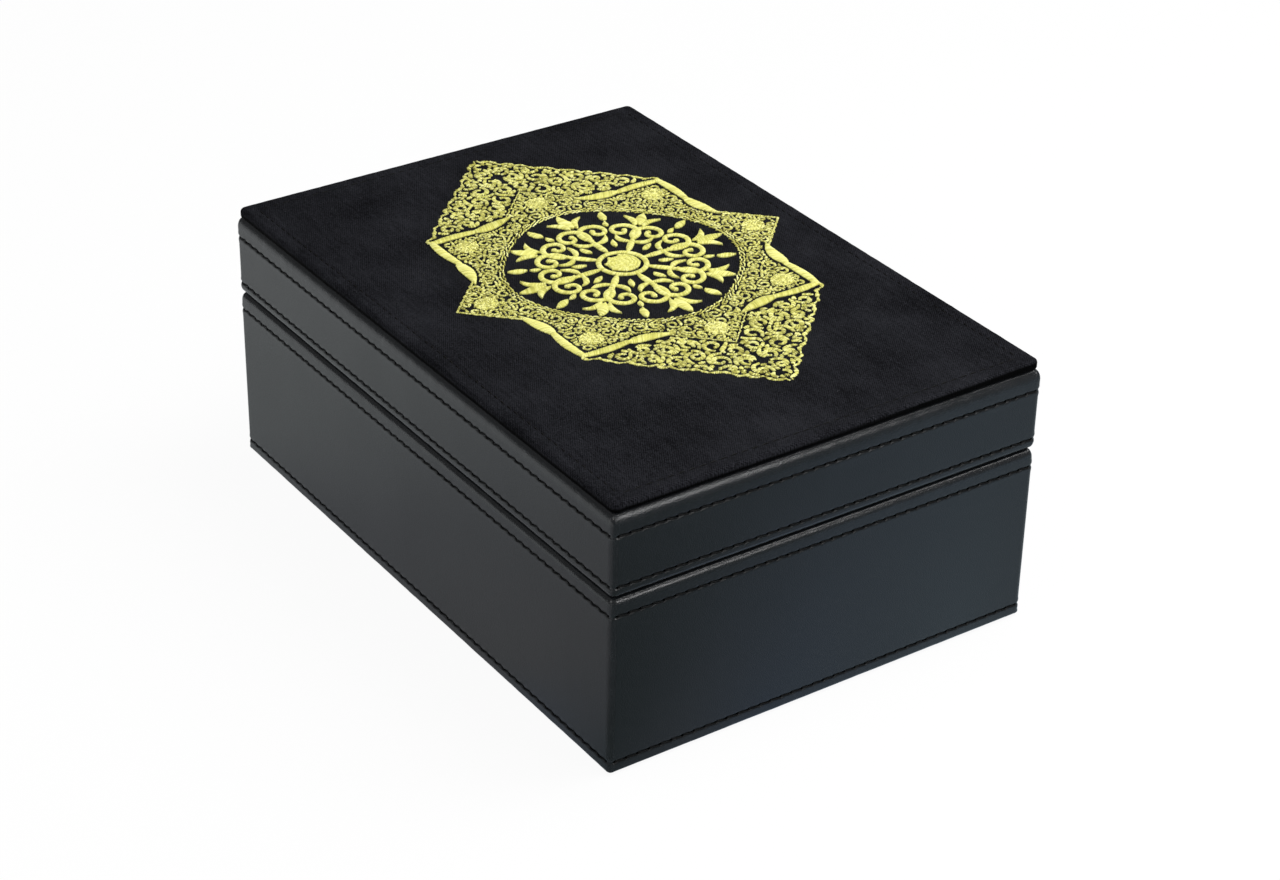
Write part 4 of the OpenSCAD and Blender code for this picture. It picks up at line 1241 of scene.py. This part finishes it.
star_strokes = swelling(swirl_strokes(star_room(), **FINE), FINE_WIDE, FINE_LENS)
crest_strokes = swelling(swirl_strokes(crest_room(), **BOLD), BOLD_WIDE, BOLD_LENS)
print(len(star_strokes), "strokes in a quarter of the star,", len(crest_strokes), "in half a crest")

# %% Edges of the lace
CORD_SWAY, CORD_IN = 0.45, 0.4         # how far a border cord wavers, and lies inside the diamond's edge
THREAD_SINK = 0.06                     # how deep the gold thread's root lies in the cloth


def loose_cord(start, end, width):
    """A cord from start to end that wavers a little, as a hand-guided line does."""
    start, end = np.asarray(start, float), np.asarray(end, float)
    t = np.linspace(0, 1, 60)
    side = np.array([start[1] - end[1], end[0] - start[0]]) / np.hypot(*(end - start))
    waver = CORD_SWAY * np.sin(math.pi * t) * (np.sin(41 * t) + np.sin(67 * t + 1)) / 2
    return start + t[:, None] * (end - start) + waver[:, None] * side, np.full(60, width)


def scalloped_edge(width):
    """The cord up one edge of a crest, out and in again at each lobe, with lobes of uneven length."""
    t = np.linspace(0.0, 1.0, 240)
    ragged = np.clip(0.66 + 0.5 * np.sin(83 * t + 1) * np.sin(37 * t), 0.3, 1)
    points = np.column_stack([SQUARE * (1 - t), SQUARE * (1 + t)]) + lobe_reach(t)[:, None] / math.sqrt(2)
    points[:, 0] = np.clip(points[:, 0], 0, None)
    return points, width * ragged


def edge_cords():
    """The thin lines along the diamond, and the scalloped line round the crest."""
    notch = SIDE_POINT - SQUARE
    return [loose_cord((SIDE_POINT - CORD_IN, 0), (SQUARE, notch - CORD_IN), width=0.8),
            loose_cord((notch - CORD_IN, SQUARE), (0, SIDE_POINT - CORD_IN), width=0.5),
            scalloped_edge(width=1.7)]


def on_cloth(paths, closed=False):
    """Routes on the lid's cloth from paths about the medallion's centre."""
    routes = []
    for points, widths in paths:
        level = np.full(len(points), cloth_high[2] - THREAD_SINK)
        routes.append(route(np.column_stack([points + MEDALLION, level]), widths, closed=closed))
    return routes


quarter = star_strokes + crest_strokes + edge_cords()
cord_length = sum(np.linalg.norm(np.diff(points, axis=0), axis=1).sum() for points, _ in quarter)
print("cords in a quarter:", round(cord_length), "mm")

# %% Sewing the lace
MOTTLED = 0.2                          # the unevenness past which tones vary no more
LOW = {"thread": 0.5, "tall": 0.55, "bends": 2}                # thread that lies nearly flat
HIGH = {"thread": 0.55, "tall": 0.95, "bends": 4, "sides": 4}  # thread that stands up over a padding


def sew_gold(name, paths, nodes, pitch, slant, uneven, thread, tall, bends, sides):
    """Sew paths in satin stitch, slanted off square, as one piece of the lid."""
    mottled = min(uneven, MOTTLED)
    made = lay_stitches(
        name, on_cloth(paths), gold_thread, Pitch=pitch, Angle=math.radians(90) - math.radians(slant),
        Angle_Spread=uneven, Length_Spread=uneven, Thread=thread, Height=tall, Bends=bends, Sides=sides,
        Tone=0.62 - 0.75 * mottled, Tone_Spread=0.12 + 2.4 * mottled, Seed=len(paths))
    place_piece(made, "lid", nodes)


for end, sy, nodes in (("far", 1, ["medallion_lace"]), ("near", -1, [])):
    sew_gold(f"lace_{end}", [mirrored(p, sx, sy) for p in quarter for sx in (1, -1)], nodes,
             pitch=0.40, slant=14, uneven=0.16, sides=3, **LOW)

# %% Straps and rosettes
arm = strap_arm()
sew_gold("corner_straps", [turned(a, 90 * k) for k in range(4) for a in (arm, flipped(arm))],
         ["medallion_straps"], pitch=0.42, slant=24, uneven=0.06, **HIGH)
sew_gold("rosettes", [p for k in range(8) for p in rosette(polar(ROSETTE_RING, 45 * k), ROSETTE, 45 * k)],
         ["medallion_rosettes"], pitch=0.42, slant=0, uneven=0.5, sides=4, **LOW)

# %% Centre ornament
ON_AXES = ((0.205, 0.50, 0.06), (0.735, 0.985, 0.10))          # leaves: start, end and width
BETWEEN_AXES = ((0.30, 0.42, 0.055), (0.685, 0.775, 0.05), (0.80, 0.97, 0.075))
FLOWER, CIRCLE, CIRCLE_WIDE = 0.15, 0.195, 0.045               # all of these in shares of the disc's radius

centre = [turned(mirrored(p, 1, s), 45 * k) for k in range(8) for s in (1, -1) for p in spray()]
for k in range(8):
    centre += [turned(axis_leaf(*shares), 45 * k) for shares in ON_AXES]
    centre += [turned(axis_leaf(*shares), 45 * k + 22.5) for shares in BETWEEN_AXES]
centre += rosette((0, 0), FLOWER * DISC, 22.5)
circle = polar(CIRCLE * DISC, np.linspace(0, 360, 80))
centre.append((circle, np.full(len(circle), CIRCLE_WIDE * DISC)))
sew_gold("centre_ornament", [drawn_in(p) for p in centre],
         ["medallion_centre"], pitch=0.40, slant=20, uneven=0.06, **HIGH)

# %% The stitched rings
RING_STEPS, RING_STITCH, RING_PITCH = (0.45, 1.75), 1.8, 1.9
RING_SWAY, RING_SWAYS = 0.3, 72        # how far the rings waver, and how often in a round

around = np.linspace(0, 360, 480, endpoint=False)
waver = RING_SWAY * np.sin(np.radians(around * RING_SWAYS))
rings = [(polar(field_edge(around) + step + waver, around), np.full(len(around), RING_STITCH))
         for step in RING_STEPS]
ring_stitches = lay_stitches(
    "ring_stitches", on_cloth(rings, closed=True), gold_thread, Pitch=RING_PITCH, Angle=math.radians(14),
    Thread=0.6, Height=0.6, Bends=3, Sides=5, Angle_Spread=math.radians(20), Length_Spread=0.4)
place_piece(ring_stitches, "lid", ["medallion_rings"])

# %% [markdown]
# ## Velvet inside
#
# The inside of the box isn't in the photograph. It is lined with boards covered in black velvet, and a thin
# pad lies on the floor. A lining board has soft edges and a slight crown where the velvet is drawn over it.
# Velvet looks darkest face on and bright at a glancing angle, which the Principled shader's sheen gives.

# %% Velvet finish
velvet, wire, place = new_finish("black_velvet")
pile = noise(place, 0.35, detail=3.0)
brushed = noise(stretched(place, 1, 1, 0.4), 14.0, detail=3.0)
nap = blend_colours(pile * 0.5 + brushed * 0.5, (0.008, 0.008, 0.010, 1), (0.030, 0.029, 0.034, 1))
close_finish(
    wire, Base_Color=nap, Roughness=0.85 + pile * 0.1, Specular_IOR_Level=0.15, Sheen_Weight=0.7,
    Sheen_Roughness=0.35, Sheen_Tint=(0.55, 0.55, 0.62, 1), Normal=bump(pile + brushed * 0.5, 0.2))
print("velvet: pile 0.35 mm, brushed in patches of 14 mm")

# %% Lining boards


def soft_board(name, node, radius, crown, cell=6.0):
    """A board with rounded edges in the box of a CAD node, its two large faces crowned."""
    low, high = box_mm(node)
    half, middle = (high - low) / 2, (high + low) / 2
    thin = int(np.argmin(half))
    points, faces = [], []
    for axis in range(3):
        a, b = (axis + 1) % 3, (axis + 2) % 3
        counts = [max(4, int(2 * half[k] / cell)) for k in (a, b)]
        s, t = (np.sort(np.concatenate([np.linspace(-1, 1, n), [-1 + e, 1 - e]]))
                for n, e in zip(counts, (radius / half[a] * 0.5, radius / half[b] * 0.5)))
        for sign in (-1, 1):
            grid = np.zeros((len(s), len(t), 3))
            grid[..., axis] = sign
            grid[..., a], grid[..., b] = s[:, None], t[None, :]
            i, j = np.meshgrid(np.arange(len(s) - 1), np.arange(len(t) - 1), indexing="ij")
            first = sum(len(p) for p in points) + i * len(t) + j
            quads = np.stack([first, first + len(t), first + len(t) + 1, first + 1], axis=-1).reshape(-1, 4)
            points.append(grid.reshape(-1, 3))
            faces.append(quads if sign > 0 else quads[:, ::-1])
    unit = np.vstack(points)
    inner = np.clip(unit * half, -(half - radius), half - radius)
    away = unit * half - inner
    away /= np.maximum(np.linalg.norm(away, axis=1), 1e-9)[:, None]
    shaped = inner + away * radius
    flat = [k for k in range(3) if k != thin]
    dome = np.prod(1 - np.abs(unit[:, flat]) ** 4, axis=1)
    shaped[:, thin] -= np.sign(unit[:, thin]) * (np.abs(unit[:, thin]) > 0.99) * crown * (1 - dome)
    return mesh_piece(name, shaped + middle, np.vstack(faces), velvet, merge=0.01)


for half in ("base", "lid"):
    for side in ("front", "hinge", "near", "far"):
        node = f"{half}_{side}_lining"
        place_piece(soft_board(f"{half}_{side}_velvet", node, radius=0.8, crown=0.15), half, [node])
lid_top = soft_board("lid_top_velvet", "lid_top_lining", radius=0.6, crown=0.15)
place_piece(lid_top, "lid", ["lid_top_lining"])
floor_pad = soft_board("floor_pad_velvet", "base_floor_pad", radius=1.1, crown=0.5, cell=4.0)
place_piece(floor_pad, "base", ["base_floor_pad"])

# %% [markdown]
# ## Boards, brass and steel
#
# The boards, the hinges and the screws keep their CAD shapes and only get a finish. The boards hardly show.
# The brass of the hinges is drawn and then handled: fine streaks along the barrel, and darker tarnish in
# patches.

# %% Finishes for the CAD nodes
board, wire, place = new_finish("grey_board")
fibre = noise(stretched(place, 1, 0.3, 1), 1.2, detail=4.0)
close_finish(wire, Base_Color=blend_colours(fibre, (0.16, 0.13, 0.10, 1), (0.30, 0.26, 0.20, 1)),
             Roughness=0.8 + fibre * 0.15, Normal=bump(fibre, 0.1))

cover, wire, place = new_finish("black_cover")
grain = noise(place, 0.8, detail=4.0)
scuff = noise(place, 12.0, detail=4.0)
close_finish(wire, Base_Color=blend_colours(grain * 0.5 + scuff * 0.5, grey(0.008), grey(0.03)),
             Roughness=0.55 + grain * 0.2, Specular_IOR_Level=0.35, Normal=bump(grain, 0.08))

brass, wire, place = new_finish("hinge_brass")
streak = noise(stretched(place, 1, 0.08, 1), 0.4, detail=3.0)
tarnish = noise(place, 4.0, detail=4.0)
close_finish(wire, Base_Color=blend_colours(tarnish.between(0.35, 0.75), (0.72, 0.50, 0.20, 1),
                                            (0.42, 0.27, 0.10, 1)),
             Metallic=1.0, Roughness=0.22 + streak * 0.2 + tarnish * 0.15, Normal=bump(streak, 0.02))

steel, wire, place = new_finish("steel")
turning = noise(place, 0.5, detail=3.0)
close_finish(wire, Base_Color=blend_colours(turning, (0.42, 0.42, 0.43, 1), (0.62, 0.62, 0.62, 1)),
             Metallic=1.0, Roughness=0.25 + turning * 0.2, Normal=bump(turning, 0.01))


def dress(node, material):
    """Give a CAD node's own object a finish."""
    made = bpy.data.objects[node]
    made.data.materials.clear()
    made.data.materials.append(material)


dressed = 0
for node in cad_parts:
    for ending, material in (("_board", board), ("_wall", board), ("_cover", cover), ("_leaf", brass),
                             ("_screws", steel), ("_pin", brass), ("_magnets", steel)):
        if node.endswith(ending):
            dress(node, material)
            dressed += 1
print(dressed, "CAD nodes dressed")
